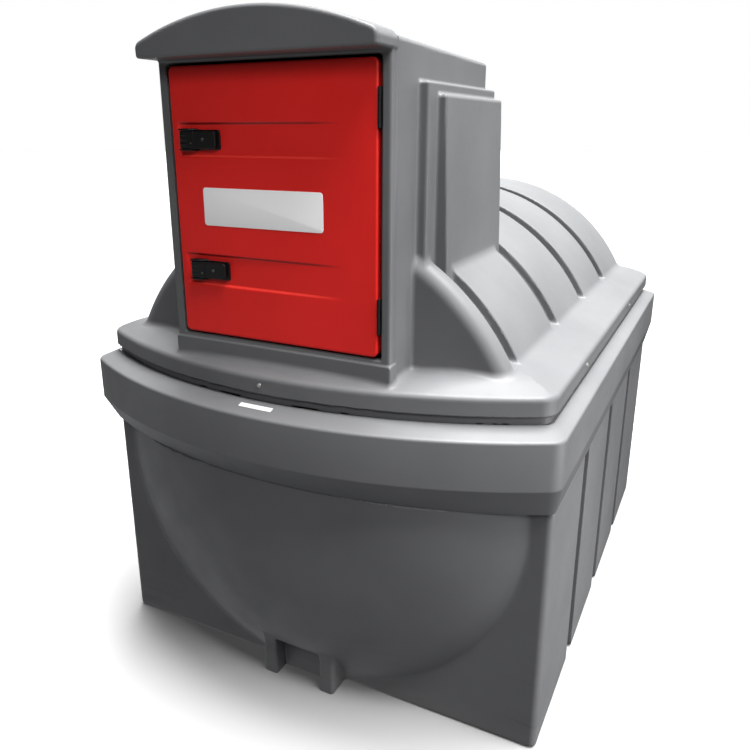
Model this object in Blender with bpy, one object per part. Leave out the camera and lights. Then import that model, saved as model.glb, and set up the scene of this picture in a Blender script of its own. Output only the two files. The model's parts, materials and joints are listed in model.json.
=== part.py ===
"""Bunded plastic fuel tank with a dispensing cabinet: a low open tub with a rolled collar, a lid with a ribbed
half-round dome, and an upright cabinet with a hinged door at the front. Metres, +Z up, front towards -Y."""

import math

import bmesh
import bpy
from mathutils import Vector

# Walls and gaps
WALL = 0.012
GAP = 0.0003
ROUND_STEPS = 24
BOW_STEPS = 16
ARCH_STEPS = 14

# Tub, called the bund
BUND_HALF_WIDTH = 0.700
BUND_HALF_LENGTH = 0.840
BUND_TOP = 0.7117
BUND_CORNER = 0.020
SIDE_GROOVE_PITCH = 0.420
SIDE_GROOVE_HALF_WIDTH = 0.026
SIDE_GROOVE_FLOOR_HALF_WIDTH = 0.008
SIDE_GROOVE_DEPTH = 0.022

# Round swelling of the tub's two ends, where the inner drum lies
SWELL_RADIUS = 0.646
SWELL_CENTRE_Z = 0.652
SWELL_DEPTH = 0.165
SWELL_POWER = 2.6
SWELL_RINGS = 7

# Foot blocks at the middle of each end
FOOT_HALF_WIDTH = 0.120
FOOT_OUT = 0.073
FOOT_HEIGHT = 0.142
POCKET_HALF_WIDTH = 0.075
POCKET_HEIGHT = 0.130
POCKET_BACK = 0.025

# Collar round the tub's top; each outline is half width, corner y, bow depth and corner radius
COLLAR_LOW = (0.702, 0.845, 0.165, 0.030)
COLLAR_FACE = (0.720, 0.885, 0.195, 0.050)
COLLAR_EDGE = (0.712, 0.877, 0.195, 0.045)
COLLAR_CREST = (0.688, 0.850, 0.180, 0.040)
COLLAR_INNER = (0.652, 0.828, 0.180, 0.030)
COLLAR_LOW_Z = 0.712
COLLAR_FACE_Z = 0.797
COLLAR_EDGE_Z = 0.908
COLLAR_TOP_Z = 0.918
COLLAR_CREST_Z = 0.935
END_Y = 0.800

# Lid on the collar
LID_OUTLINE = (0.685, 0.842, 0.180, 0.030)
LID_SOLE_Z = 0.9353
LID_LIP_Z = 0.945
LID_LIP_INSET = 0.012
LID_TOP_Z = 1.000
LID_EDGE_ROUND = 0.006
DECK_INNER_X = 0.536
DECK_LOW_Z = 1.022
DECK_HIGH_Z = 1.045
DECK_RISE_START = 0.345
DECK_RISE_END = 0.530
DECK_CREST_X = 0.572
DECK_STATIONS = (0.12, 0.24, DECK_RISE_START, 0.43, DECK_RISE_END, DECK_INNER_X, 0.60)
PLATFORM_Y = -0.958
PLATFORM_SET_BACK = 0.021

# Dome on the lid
DOME_RADIUS = 0.637
DOME_CENTRE_Z = 0.757
DOME_FRONT = -0.840
DOME_REAR = 0.810
DOME_END_RADIUS = 0.598
DOME_BASE_Z = DECK_HIGH_Z + GAP
GROOVE_PLACES = (-0.762, -0.340, 0.055, 0.435)
GROOVE_DEPTH = 0.025
BAND_STEPS = 28
BAND_SPLIT_STEPS = 9

# Cabinet
CAB_HALF_WIDTH = 0.318
CAB_FRONT = -0.960
CAB_REAR = GROOVE_PLACES[1] - GAP
CAB_BASE_Z = DECK_LOW_Z + GAP
FRAME_DEPTH = 0.020
WALLS_FRONT = CAB_FRONT + FRAME_DEPTH + GAP
WALL_TOP_Z = 1.765
ROOF_SIDE_Z = 1.782
ROOF_RISE = 0.060
ROOF_FALL = 0.013
JAMB_INNER_X = 0.2925
SILL_TOP_Z = 1.074
HOOD_FRONT = -1.040
HOOD_BACK = CAB_FRONT + FRAME_DEPTH
HOOD_HALF_WIDTH = 0.320
HOOD_UNDER_Z = 1.755
HOOD_SIDE_Z = 1.788
HOOD_SIDE_BACK_Z = 1.784
HOOD_RISE = 0.064
HOOD_CORNER = 0.012

# Stepped pads on the cabinet's sides: front y, rear y, outer x at the top and at the dome, top z
INNER_PAD = (-0.822, CAB_REAR, 0.345, 0.345, 1.700)
OUTER_PAD = (-0.772, CAB_REAR - 0.005, 0.368, 0.382, 1.674)
PAD_WALL = 0.007
PAD_STEP = 0.002

# Door
DOOR_HALF_WIDTH = 0.285
DOOR_LOW_Z = 1.080
DOOR_HIGH_Z = 1.742
DOOR_FRONT = -0.9625
DOOR_THICKNESS = 0.032
DOOR_CORNER = 0.014
HINGE_X = 0.28875
HINGE_Y = DOOR_FRONT
HINGE_HEIGHTS = (1.180, 1.640)
HINGE_BARREL_RADIUS = 0.0035
HINGE_PIN_RADIUS = 0.0016
HINGE_BORE_RADIUS = 0.0017
HINGE_HALF_HEIGHT = 0.042
HINGE_MIDDLE_HALF = 0.020
CHANNEL_LEFT = -0.262
CHANNEL_FLAT_END = -0.125
CHANNEL_RIGHT = 0.200
CHANNEL_HALF_HEIGHT = 0.038
CHANNEL_DEPTH = 0.006

# Latches: name, left end and middle height of each
LATCHES = (("upper", -0.2570, 1.571), ("lower", -0.2490, 1.250))
LATCH_LENGTH = 0.117
LATCH_HALF_HEIGHT = 0.0265
LATCH_PLATE = 0.004
LATCH_EAR = 0.0045
LATCH_PIVOT_IN = 0.0085
LATCH_PIVOT_OUT = 0.0140
LEVER_HALF_HEIGHT = 0.0205
LEVER_LENGTH = 0.102
LEVER_THICKNESS = 0.010
LATCH_PIN_RADIUS = 0.0020
LATCH_BORE_RADIUS = 0.0021

MATERIALS = {
    "tank_plastic": ((0.130, 0.135, 0.142), 0.50, 0.0),
    "door_plastic": ((0.520, 0.012, 0.010), 0.42, 0.0),
    "latch_plastic": ((0.012, 0.012, 0.013), 0.45, 0.0),
    "hinge_steel": ((0.060, 0.060, 0.062), 0.40, 0.9),
}


def clear_objects():
    for item in list(bpy.data.objects):
        bpy.data.objects.remove(item)


def material(slot):
    found = bpy.data.materials.get(slot)
    if found:
        return found
    colour, roughness, metallic = MATERIALS[slot]
    made = bpy.data.materials.new(slot)
    made.use_nodes = True
    shader = made.node_tree.nodes["Principled BSDF"]
    shader.inputs["Base Color"].default_value = (*colour, 1.0)
    shader.inputs["Roughness"].default_value = roughness
    shader.inputs["Metallic"].default_value = metallic
    return made


def add_object(name, points, faces, slot, origin=(0.0, 0.0, 0.0)):
    """One closed body from points and faces, with its own origin and its normals outwards."""
    shape = bmesh.new()
    shift = Vector(origin)
    corners = [shape.verts.new(Vector(p) - shift) for p in points]
    for face in faces:
        shape.faces.new([corners[i] for i in face])
    bmesh.ops.remove_doubles(shape, verts=shape.verts, dist=1e-6)
    bmesh.ops.recalc_face_normals(shape, faces=shape.faces)
    mesh = bpy.data.meshes.new(name)
    shape.to_mesh(mesh)
    shape.free()
    mesh.shade_smooth()
    mesh.set_sharp_from_angle(angle=math.radians(30))
    item = bpy.data.objects.new(name, mesh)
    item.location = origin
    item.data.materials.append(material(slot))
    bpy.context.scene.collection.objects.link(item)
    return item


def band_faces(start_a, start_b, count, closed=True):
    """Quads between two rows of points that are numbered from start_a and start_b."""
    steps = count if closed else count - 1
    return [(start_a + i, start_a + (i + 1) % count, start_b + (i + 1) % count, start_b + i) for i in range(steps)]


def loft(name, sections, slot, origin=(0.0, 0.0, 0.0)):
    """A solid through closed sections with the same number of points, capped at both ends."""
    count = len(sections[0])
    points = [p for section in sections for p in section]
    faces = []
    for k in range(len(sections) - 1):
        faces += band_faces(k * count, (k + 1) * count, count)
    faces.append(tuple(range(count)))
    last = (len(sections) - 1) * count
    faces.append(tuple(range(last, last + count)))
    return add_object(name, points, faces, slot, origin)


def cup(name, outer, inner, slot):
    """A shell open at one end, from its outer loops, open end first, and its inner loops, shut end first."""
    count = len(outer[0])
    loops = list(outer) + list(inner)
    points = [p for loop in loops for p in loop]
    shut = len(outer) - 1
    faces = []
    for k in range(len(loops) - 1):
        if k != shut:
            faces += band_faces(k * count, (k + 1) * count, count)
    faces += band_faces((len(loops) - 1) * count, 0, count)
    for k in (shut, shut + 1):
        faces.append(tuple(range(k * count, (k + 1) * count)))
    return add_object(name, points, faces, slot)


def box(name, low, high, slot, origin=(0.0, 0.0, 0.0)):
    ends = []
    for x in (low[0], high[0]):
        ends.append([(x, low[1], low[2]), (x, high[1], low[2]), (x, high[1], high[2]), (x, low[1], high[2])])
    return loft(name, ends, slot, origin)


def upright_cylinder(name, centre, radius, low, high, slot, origin=(0.0, 0.0, 0.0)):
    rows = []
    for z in (low, high):
        row = []
        for k in range(ROUND_STEPS):
            angle = math.tau * k / ROUND_STEPS
            row.append((centre[0] + radius * math.cos(angle), centre[1] + radius * math.sin(angle), z))
        rows.append(row)
    return loft(name, rows, slot, origin)


def helper(item):
    item.hide_render = True
    item.display_type = "WIRE"
    return item


def combine(item, other, operation):
    """Joins another shape to this one, or cuts it away, and keeps the other as a hidden helper."""
    step = item.modifiers.new(other.name, "BOOLEAN")
    step.object = helper(other)
    step.operation = operation
    step.solver = "EXACT"
    return item


def mirror_end(points):
    """The same outline for the other end of the tank."""
    return [(x, -y) for x, y in points]


def bowed_end(outline, end_y, stations=None, corner_steps=4):
    """Plan points of an end from its left side round the bow to its right side; the front end faces -Y."""
    half, corner, bow, fillet = outline
    radius = (half * half + bow * bow) / (2 * bow)
    centre_y = radius - corner - bow
    fillet_x = half - fillet
    fillet_y = centre_y - math.sqrt((radius - fillet) ** 2 - fillet_x ** 2)
    turn = math.pi / 2 - math.atan2(fillet_x, centre_y - fillet_y)
    right = [(half, -end_y)]
    for k in range(corner_steps + 1):
        angle = -turn * k / corner_steps
        right.append((fillet_x + fillet * math.cos(angle), fillet_y + fillet * math.sin(angle)))
    right.reverse()
    left = [(-x, y) for x, y in reversed(right)]
    if stations is None:
        stations = [fillet_x * (2 * k / BOW_STEPS - 1) for k in range(1, BOW_STEPS)]
    arc = [(x, centre_y - math.sqrt(radius ** 2 - x ** 2)) for x in stations]
    return left + arc + right


def inset(outline, amount):
    half, corner, bow, fillet = outline
    return (half - amount, corner - amount, bow, max(fillet - amount, 0.012))


def ring_end(name, rows, front, slot):
    """A solid along one bowed end from rows of (outline, z)."""
    plans = []
    for outline, z in rows:
        plan = bowed_end(outline, END_Y)
        if not front:
            plan = mirror_end(plan)
        plans.append([(x, y, z) for x, y in plan])
    sections = [list(section) for section in zip(*plans)]
    return loft(name, sections, slot)


def straight_side(name, rows, side, slot):
    """A solid along one straight side from rows of (x, z)."""
    length = END_Y - GAP
    sections = [[(side * x, y, z) for x, z in rows] for y in (-length, length)]
    return loft(name, sections, slot)


def collar_rows():
    """The collar's section from its low edge up, over and in to the lid, then back along its inner face."""
    return [
        (COLLAR_LOW, COLLAR_LOW_Z),
        (COLLAR_FACE, COLLAR_FACE_Z),
        (COLLAR_FACE, COLLAR_EDGE_Z),
        (COLLAR_EDGE, COLLAR_TOP_Z),
        (COLLAR_CREST, COLLAR_CREST_Z),
        (COLLAR_INNER, COLLAR_CREST_Z),
        (COLLAR_INNER, COLLAR_CREST_Z - WALL),
        (inset(COLLAR_CREST, 0.004), COLLAR_CREST_Z - WALL),
        (inset(COLLAR_FACE, WALL), COLLAR_TOP_Z - WALL),
        (inset(COLLAR_FACE, WALL), COLLAR_FACE_Z),
        (inset(COLLAR_LOW, WALL), COLLAR_LOW_Z),
    ]


def make_collar():
    rows = collar_rows()
    ring_end("collar_front", rows, True, "tank_plastic")
    ring_end("collar_rear", rows, False, "tank_plastic")
    side_rows = [(outline[0], z) for outline, z in rows]
    straight_side("collar_left", side_rows, -1, "tank_plastic")
    straight_side("collar_right", side_rows, 1, "tank_plastic")


def swell_depth(share):
    """How far the end bulges out at a share of the way from its middle line to its rim."""
    return SWELL_DEPTH * (1.0 - min(share, 1.0) ** SWELL_POWER)


def corner_set_back(x):
    """How far the flat end lies back at its rounded upright corners."""
    over = abs(x) - (BUND_HALF_WIDTH - BUND_CORNER)
    if over <= 0:
        return 0.0
    return BUND_CORNER - math.sqrt(max(BUND_CORNER ** 2 - over ** 2, 0.0))


def end_wall_stations():
    """Rays over the end wall: the middle, rim and outer point of each, from the top left round the bottom."""
    half = BUND_HALF_WIDTH
    stations = [((0.0, BUND_TOP), (-SWELL_RADIUS, BUND_TOP), (-half, BUND_TOP))]
    bottom_corner = math.atan2(half, SWELL_CENTRE_Z)
    side_steps = 5
    flat_steps = 7
    flat_half = half - BUND_CORNER
    turns = [math.pi / 2 + (bottom_corner - math.pi / 2) * k / side_steps for k in range(side_steps + 1)]
    bottom = [half - BUND_CORNER / 3] + [flat_half * (1 - k / flat_steps) for k in range(flat_steps + 1)]
    turns += [math.atan2(x, SWELL_CENTRE_Z) for x in bottom]
    turns += [-turn for turn in reversed(turns[:-1])]
    for turn in turns:
        rim = (-SWELL_RADIUS * math.sin(turn), SWELL_CENTRE_Z - SWELL_RADIUS * math.cos(turn))
        if abs(turn) >= bottom_corner:
            outer = (-math.copysign(half, turn), SWELL_CENTRE_Z - half / math.tan(abs(turn)))
        else:
            outer = (-SWELL_CENTRE_Z * math.tan(turn), 0.0)
        stations.append(((0.0, SWELL_CENTRE_Z), rim, outer))
    stations.append(((0.0, BUND_TOP), (SWELL_RADIUS, BUND_TOP), (half, BUND_TOP)))
    return stations


def swell_row(middle, rim, side_y):
    """Points on the swelling's outer face along one ray, from its middle to just inside its rim."""
    edge = 1.0 - GAP / SWELL_RADIUS
    row = []
    for k in range(SWELL_RINGS + 1):
        share = edge * math.sin(math.pi / 2 * k / SWELL_RINGS)
        x = middle[0] + (rim[0] - middle[0]) * share
        z = middle[1] + (rim[1] - middle[1]) * share
        row.append((x, side_y * (BUND_HALF_LENGTH + swell_depth(share)), z))
    return row


def plate_row(rim, outer, side_y):
    """Points on the flat end's outer face along one ray, from the swelling's rim to the outer edge."""
    flat_half = BUND_HALF_WIDTH - BUND_CORNER
    reach = abs(outer[0]) - abs(rim[0])
    flat_share = 0.5
    if abs(outer[0]) > flat_half and reach > 0:
        flat_share = max((flat_half - abs(rim[0])) / reach, 0.0)
    row = []
    for share in (0.0, flat_share, (1 + 2 * flat_share) / 3, (2 + flat_share) / 3, 1.0):
        x = rim[0] + (outer[0] - rim[0]) * share
        z = rim[1] + (outer[1] - rim[1]) * share
        row.append((x, side_y * (BUND_HALF_LENGTH - corner_set_back(x)), z))
    return row


def sheet_solid(name, outer, side_y):
    """A wall of even depth behind rows of points; rows that start in one point make a closed middle."""
    inner = [[(x, y - side_y * WALL, z) for x, y, z in row] for row in outer]
    width = len(outer[0])
    points = [p for row in outer for p in row] + [p for row in inner for p in row]
    back = len(outer) * width
    open_middle = outer[1][0] != outer[2][0]
    faces = []
    for j in range(len(outer) - 1):
        for i in range(width - 1):
            a = j * width + i
            quad = (a, a + 1, a + width + 1, a + width)
            faces.append(quad)
            faces.append(tuple(back + v for v in reversed(quad)))
        edges = (j * width, j * width + width - 1) if open_middle else (j * width + width - 1,)
        for a in edges:
            faces.append((a, a + width, back + a + width, back + a))
    for start in (0, (len(outer) - 1) * width):
        for i in range(width - 1):
            a = start + i
            faces.append((a, a + 1, back + a + 1, back + a))
    return add_object(name, *merged_points(points, faces), "tank_plastic")


def merged_points(points, faces):
    """The same faces on points without doubles, with the flat ones left out."""
    index = {}
    kept = []
    merged = []
    for p in points:
        key = tuple(round(v, 6) for v in p)
        if key not in index:
            index[key] = len(kept)
            kept.append(p)
        merged.append(index[key])
    clean = []
    for face in faces:
        ring = []
        for v in face:
            if merged[v] not in ring:
                ring.append(merged[v])
        if len(ring) > 2:
            clean.append(tuple(ring))
    return kept, clean


def make_end_wall(label, side_y):
    """The flat end with its round opening, and the swelling that closes it, cut away where the foot stands."""
    stations = end_wall_stations()
    sheet_solid(f"bund_{label}_wall", [plate_row(rim, outer, side_y) for _, rim, outer in stations], side_y)
    rows = [swell_row(middle, rim, side_y) for middle, rim, _ in stations]
    swelling = sheet_solid(f"bund_{label}_swelling", rows, side_y)
    reach = FOOT_HALF_WIDTH + GAP
    low_y, high_y = sorted((side_y * (BUND_HALF_LENGTH + 2 * SWELL_DEPTH), side_y * (BUND_HALF_LENGTH - 0.040)))
    place = box(f"{label}_foot_place", (-reach, low_y, -0.010), (reach, high_y, FOOT_HEIGHT + GAP), "tank_plastic")
    combine(swelling, place, "DIFFERENCE")


def make_foot(name, side_y):
    front = BUND_HALF_LENGTH + FOOT_OUT
    back = BUND_HALF_LENGTH + GAP
    low_y, high_y = sorted((side_y * front, side_y * back))
    foot = box(name, (-FOOT_HALF_WIDTH, low_y, 0.0), (FOOT_HALF_WIDTH, high_y, FOOT_HEIGHT), "tank_plastic")
    low_y, high_y = sorted((side_y * (front + 0.020), side_y * (BUND_HALF_LENGTH + POCKET_BACK)))
    pocket = box(
        name + "_pocket",
        (-POCKET_HALF_WIDTH, low_y, -0.010),
        (POCKET_HALF_WIDTH, high_y, POCKET_HEIGHT),
        "tank_plastic",
    )
    return combine(foot, pocket, "DIFFERENCE")


def side_wall_outline():
    """Plan of the right side wall's outer face, with its upright grooves."""
    end = BUND_HALF_LENGTH - BUND_CORNER - GAP - WALL
    outline = [(BUND_HALF_WIDTH, -end)]
    for k in (-1, 0, 1):
        middle = k * SIDE_GROOVE_PITCH
        floor_x = BUND_HALF_WIDTH - SIDE_GROOVE_DEPTH
        outline.append((BUND_HALF_WIDTH, middle - SIDE_GROOVE_HALF_WIDTH))
        outline.append((floor_x, middle - SIDE_GROOVE_FLOOR_HALF_WIDTH))
        outline.append((floor_x, middle + SIDE_GROOVE_FLOOR_HALF_WIDTH))
        outline.append((BUND_HALF_WIDTH, middle + SIDE_GROOVE_HALF_WIDTH))
    outline.append((BUND_HALF_WIDTH, end))
    return outline


def make_side_wall(name, side):
    outer = side_wall_outline()
    loop = outer + [(x - WALL, y) for x, y in reversed(outer)]
    sections = [[(side * x, y, z) for x, y in loop] for z in (0.0, BUND_TOP)]
    return loft(name, sections, "tank_plastic")


def make_bund():
    floor_x = BUND_HALF_WIDTH - SIDE_GROOVE_DEPTH - WALL - GAP
    floor_y = BUND_HALF_LENGTH - WALL - GAP
    box("bund_floor", (-floor_x, -floor_y, 0.0), (floor_x, floor_y, WALL), "tank_plastic")
    make_end_wall("front", -1)
    make_end_wall("rear", 1)
    make_side_wall("bund_left_side", -1)
    make_side_wall("bund_right_side", 1)
    make_foot("front_foot", -1)
    make_foot("rear_foot", 1)


def deck_height(x):
    """Height of the deck along the dome's front end: low beside the cabinet, high beside the dome's flanks."""
    share = (abs(x) - DECK_RISE_START) / (DECK_RISE_END - DECK_RISE_START)
    return DECK_LOW_Z + (DECK_HIGH_Z - DECK_LOW_Z) * min(max(share, 0.0), 1.0)


def between(start, end, share):
    return tuple(a + (b - a) * share for a, b in zip(start, end))


def make_lid_end(name, side_y, dome_end):
    """One bowed end of the lid, from its lip over its edge up to the dome's flat end."""
    stations = [-x for x in reversed(DECK_STATIONS)] + [0.0] + list(DECK_STATIONS)
    plans = []
    for amount in (0.0, LID_EDGE_ROUND, LID_LIP_INSET, LID_LIP_INSET + WALL):
        plan = bowed_end(inset(LID_OUTLINE, amount), END_Y, stations)
        plans.append(plan if side_y < 0 else mirror_end(plan))
    sections = []
    for outer, edge, neck, neck_in in zip(*plans):
        if abs(outer[0]) > DECK_CREST_X:
            crest = (math.copysign(DECK_CREST_X, outer[0]), side_y * END_Y)
            inner = (math.copysign(DECK_INNER_X, outer[0]), side_y * END_Y)
        else:
            crest = (outer[0], dome_end)
            inner = (outer[0], dome_end - side_y * WALL)
        high = deck_height(inner[0]) if side_y < 0 else DECK_HIGH_Z
        shoulder = between((*edge, LID_TOP_Z), (*crest, high), 0.4)
        if side_y < 0 and abs(outer[0]) <= DECK_RISE_START:
            shoulder = (edge[0], max(PLATFORM_Y, edge[1] + PLATFORM_SET_BACK), DECK_LOW_Z)
        under = between(shoulder, (*inner, high), 0.1)
        sections.append([
            (*neck, LID_SOLE_Z),
            (*neck, LID_LIP_Z),
            (*outer, LID_LIP_Z),
            (*outer, LID_TOP_Z - LID_EDGE_ROUND),
            (*edge, LID_TOP_Z),
            shoulder,
            (*crest, high),
            (*inner, high),
            (*inner, high - WALL),
            (under[0], under[1], under[2] - WALL),
            (*neck_in, LID_TOP_Z - WALL),
            (*neck_in, LID_SOLE_Z),
        ])
    return loft(name, sections, "tank_plastic")


def make_lid():
    make_lid_end("lid_front", -1, DOME_FRONT)
    make_lid_end("lid_rear", 1, DOME_REAR)
    half = LID_OUTLINE[0]
    rows = [
        (half - LID_LIP_INSET, LID_SOLE_Z),
        (half - LID_LIP_INSET, LID_LIP_Z),
        (half, LID_LIP_Z),
        (half, LID_TOP_Z - LID_EDGE_ROUND),
        (half - LID_EDGE_ROUND, LID_TOP_Z),
        (DECK_CREST_X, DECK_HIGH_Z),
        (DECK_INNER_X, DECK_HIGH_Z),
        (DECK_INNER_X, DECK_HIGH_Z - WALL),
        (DECK_CREST_X, DECK_HIGH_Z - WALL),
        (half - LID_LIP_INSET - WALL, LID_TOP_Z - WALL),
        (half - LID_LIP_INSET - WALL, LID_SOLE_Z),
    ]
    straight_side("lid_left", rows, -1, "tank_plastic")
    straight_side("lid_right", rows, 1, "tank_plastic")


def band_profile(start, end):
    """Section of one dome band, from the middle of one groove to the middle of the next, as (y, radius)."""
    floor = DOME_RADIUS - GROOVE_DEPTH
    shoulder = DOME_RADIUS - 0.004
    rise = ((0.0, floor), (0.006, floor), (0.0275, shoulder), (0.034, DOME_RADIUS))
    inner_rise = ((0.0, floor - WALL), (0.012, floor - WALL), (0.036, DOME_RADIUS - WALL))
    outer = [(start + step, r) for step, r in rise] + [(end - step, r) for step, r in reversed(rise)]
    inner = [(start + step, r) for step, r in inner_rise] + [(end - step, r) for step, r in reversed(inner_rise)]
    return outer + inner[::-1]


def rounded_rim(plane, inward, steps=5):
    """Quarter-round rim from the dome's end face to its flank, as (y, radius)."""
    size = DOME_RADIUS - DOME_END_RADIUS
    rim = []
    for k in range(steps + 1):
        angle = math.pi / 2 * k / steps
        rim.append((plane + inward * size * (1 - math.cos(angle)), DOME_END_RADIUS + size * math.sin(angle)))
    return rim


def first_band_profile(groove):
    """The short front band: the rim of the end face and the near half of the first groove."""
    floor = DOME_RADIUS - GROOVE_DEPTH
    outer = rounded_rim(DOME_FRONT, 1) + [(groove - 0.0275, DOME_RADIUS - 0.003), (groove - 0.006, floor)]
    outer.append((groove, floor))
    inner = [(y + WALL * 0.9, r - WALL * 0.35) for y, r in rounded_rim(DOME_FRONT, 1)[:3]]
    inner[0] = (DOME_FRONT + WALL, DOME_END_RADIUS)
    inner += [(groove - 0.036, DOME_RADIUS - WALL), (groove - 0.012, floor - WALL), (groove, floor - WALL)]
    return outer + inner[::-1]


def last_band_profile(groove):
    floor = DOME_RADIUS - GROOVE_DEPTH
    outer = [(groove, floor), (groove + 0.006, floor), (groove + 0.0275, DOME_RADIUS - 0.004)]
    outer += [(groove + 0.034, DOME_RADIUS)] + rounded_rim(DOME_REAR, -1)[::-1]
    inner = [(groove, floor - WALL), (groove + 0.012, floor - WALL), (groove + 0.036, DOME_RADIUS - WALL)]
    inner += [(DOME_REAR - 0.040, DOME_RADIUS - WALL), (DOME_REAR - WALL - 0.004, DOME_END_RADIUS + 0.010)]
    inner.append((DOME_REAR - WALL, DOME_END_RADIUS))
    return outer + inner[::-1]


def base_angle(radius):
    return math.asin((DOME_BASE_Z - DOME_CENTRE_Z) / radius)


def arch_sections(profile, steps, stop_x=None):
    """Sections of an arch round the dome's axis; each ends on the lid, or on the plane x = stop_x."""
    sections = []
    for k in range(steps + 1):
        section = []
        for y, radius in profile:
            low = base_angle(radius)
            high = math.pi - low if stop_x is None else math.acos(stop_x / radius)
            angle = low + (high - low) * k / steps
            section.append((radius * math.cos(angle), y, DOME_CENTRE_Z + radius * math.sin(angle)))
        sections.append(section)
    return sections


def mirrored(sections):
    return [[(-x, y, z) for x, y, z in section] for section in sections]


def make_dome():
    grooves = GROOVE_PLACES
    stop_x = CAB_HALF_WIDTH + GAP
    split = [first_band_profile(grooves[0] - GAP / 2), band_profile(grooves[0] + GAP / 2, grooves[1] - GAP / 2)]
    for number, profile in enumerate(split, start=1):
        sections = arch_sections(profile, BAND_SPLIT_STEPS, stop_x)
        loft(f"dome_band_{number}_right", sections, "tank_plastic")
        loft(f"dome_band_{number}_left", mirrored(sections), "tank_plastic")
    whole = [band_profile(grooves[k] + GAP / 2, grooves[k + 1] - GAP / 2) for k in (1, 2)]
    whole.append(last_band_profile(grooves[3] + GAP / 2))
    for number, profile in enumerate(whole, start=3):
        loft(f"dome_band_{number}", arch_sections(profile, BAND_STEPS), "tank_plastic")
    make_dome_ends(stop_x)


def end_face_loop(steps, stop_x=None):
    """Loop of the dome's flat end: along its round edge at the bands' own angles, then back along the deck."""
    low = base_angle(DOME_END_RADIUS)
    high = math.pi - low if stop_x is None else math.acos(stop_x / DOME_END_RADIUS)
    radius = DOME_END_RADIUS - GAP
    arc = []
    for k in range(steps + 1):
        angle = low + (high - low) * k / steps
        arc.append((radius * math.cos(angle), DOME_CENTRE_Z + radius * math.sin(angle)))
    if stop_x is None:
        return arc
    return arc + [(x, deck_height(x) + GAP) for x, _ in reversed(arc[1:])]


def make_dome_ends(stop_x):
    loop = end_face_loop(BAND_SPLIT_STEPS, stop_x)
    for side, name in ((-1, "dome_front_end_left"), (1, "dome_front_end_right")):
        sections = [[(side * x, y, z) for x, z in loop] for y in (DOME_FRONT, DOME_FRONT + WALL)]
        loft(name, sections, "tank_plastic")
    loop = end_face_loop(BAND_STEPS)
    sections = [[(x, y, z) for x, z in loop] for y in (DOME_REAR - WALL, DOME_REAR)]
    loft("dome_rear_end", sections, "tank_plastic")


def arch_height(x, side_z, half, rise):
    """Height of an arch at x, with its sides at half width."""
    radius = (half ** 2 + rise ** 2) / (2 * rise)
    return side_z + rise - radius + math.sqrt(radius ** 2 - x ** 2)


def roof_fall(y):
    """The roof and the walls under it drop slightly towards the rear."""
    return ROOF_FALL * (y - HOOD_BACK) / (CAB_REAR - HOOD_BACK)


def spread(half):
    """Places across the cabinet for the points of an arch."""
    return [half * (2 * k / ARCH_STEPS - 1) for k in range(ARCH_STEPS + 1)]


def hood_loop(y, half, side_z, low_z, rise):
    """The hood's outline: along the arch, with its upper corners rounded off, then back along the underside."""
    lip = half - HOOD_CORNER
    arch = [(x, y, arch_height(x, side_z, half, rise)) for x in spread(lip)]
    slope = 0.6 * HOOD_CORNER
    right = [(half, y, arch[-1][2] - slope), (half, y, low_z)]
    left = [(-x, y, z) for x, y, z in reversed(right)]
    return arch + right + left


def make_hood():
    outer = [
        hood_loop(HOOD_BACK, HOOD_HALF_WIDTH, HOOD_SIDE_BACK_Z, HOOD_UNDER_Z, HOOD_RISE),
        hood_loop(HOOD_FRONT, HOOD_HALF_WIDTH, HOOD_SIDE_Z, HOOD_UNDER_Z, HOOD_RISE),
    ]
    half = HOOD_HALF_WIDTH - WALL
    low = HOOD_UNDER_Z + 0.5 * WALL
    inner = [
        hood_loop(HOOD_FRONT + WALL, half, HOOD_SIDE_Z - WALL, low, HOOD_RISE),
        hood_loop(HOOD_BACK, half, HOOD_SIDE_BACK_Z - WALL, low, HOOD_RISE),
    ]
    cup("hood", outer, inner, "tank_plastic")


def make_roof():
    low_half = CAB_HALF_WIDTH - WALL
    sections = []
    for y in (WALLS_FRONT, CAB_REAR):
        seat = WALL_TOP_Z + GAP - roof_fall(y)
        side = ROOF_SIDE_Z - roof_fall(y)
        section = [(x, y, arch_height(x, side, CAB_HALF_WIDTH, ROOF_RISE)) for x in spread(CAB_HALF_WIDTH)]
        section += [(CAB_HALF_WIDTH, y, seat), (low_half, y, seat)]
        under = spread(low_half)[::-1]
        section += [(x, y, arch_height(x, side, CAB_HALF_WIDTH, ROOF_RISE) - WALL) for x in under]
        section += [(-low_half, y, seat), (-CAB_HALF_WIDTH, y, seat)]
        sections.append(section)
    loft("cabinet_roof", sections, "tank_plastic")


def make_cabinet_walls():
    corners = [
        (WALLS_FRONT, CAB_BASE_Z),
        (CAB_REAR, CAB_BASE_Z),
        (CAB_REAR, WALL_TOP_Z - roof_fall(CAB_REAR)),
        (WALLS_FRONT, WALL_TOP_Z - roof_fall(WALLS_FRONT)),
    ]
    for side, name in ((-1, "cabinet_left_wall"), (1, "cabinet_right_wall")):
        sections = [[(side * x, y, z) for y, z in corners] for x in (CAB_HALF_WIDTH - WALL, CAB_HALF_WIDTH)]
        loft(name, sections, "tank_plastic")
    half = CAB_HALF_WIDTH - WALL - GAP
    sections = []
    for y in (CAB_REAR - WALL, CAB_REAR):
        under = ROOF_SIDE_Z - WALL - GAP - roof_fall(y)
        section = [(x, y, arch_height(x, under, CAB_HALF_WIDTH, ROOF_RISE)) for x in spread(half)]
        section += [(half, y, CAB_BASE_Z), (-half, y, CAB_BASE_Z)]
        sections.append(section)
    loft("cabinet_rear_wall", sections, "tank_plastic")
    box(
        "cabinet_floor",
        (-half, WALLS_FRONT, CAB_BASE_Z),
        (half, CAB_REAR - WALL - GAP, CAB_BASE_Z + WALL),
        "tank_plastic",
    )


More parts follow.
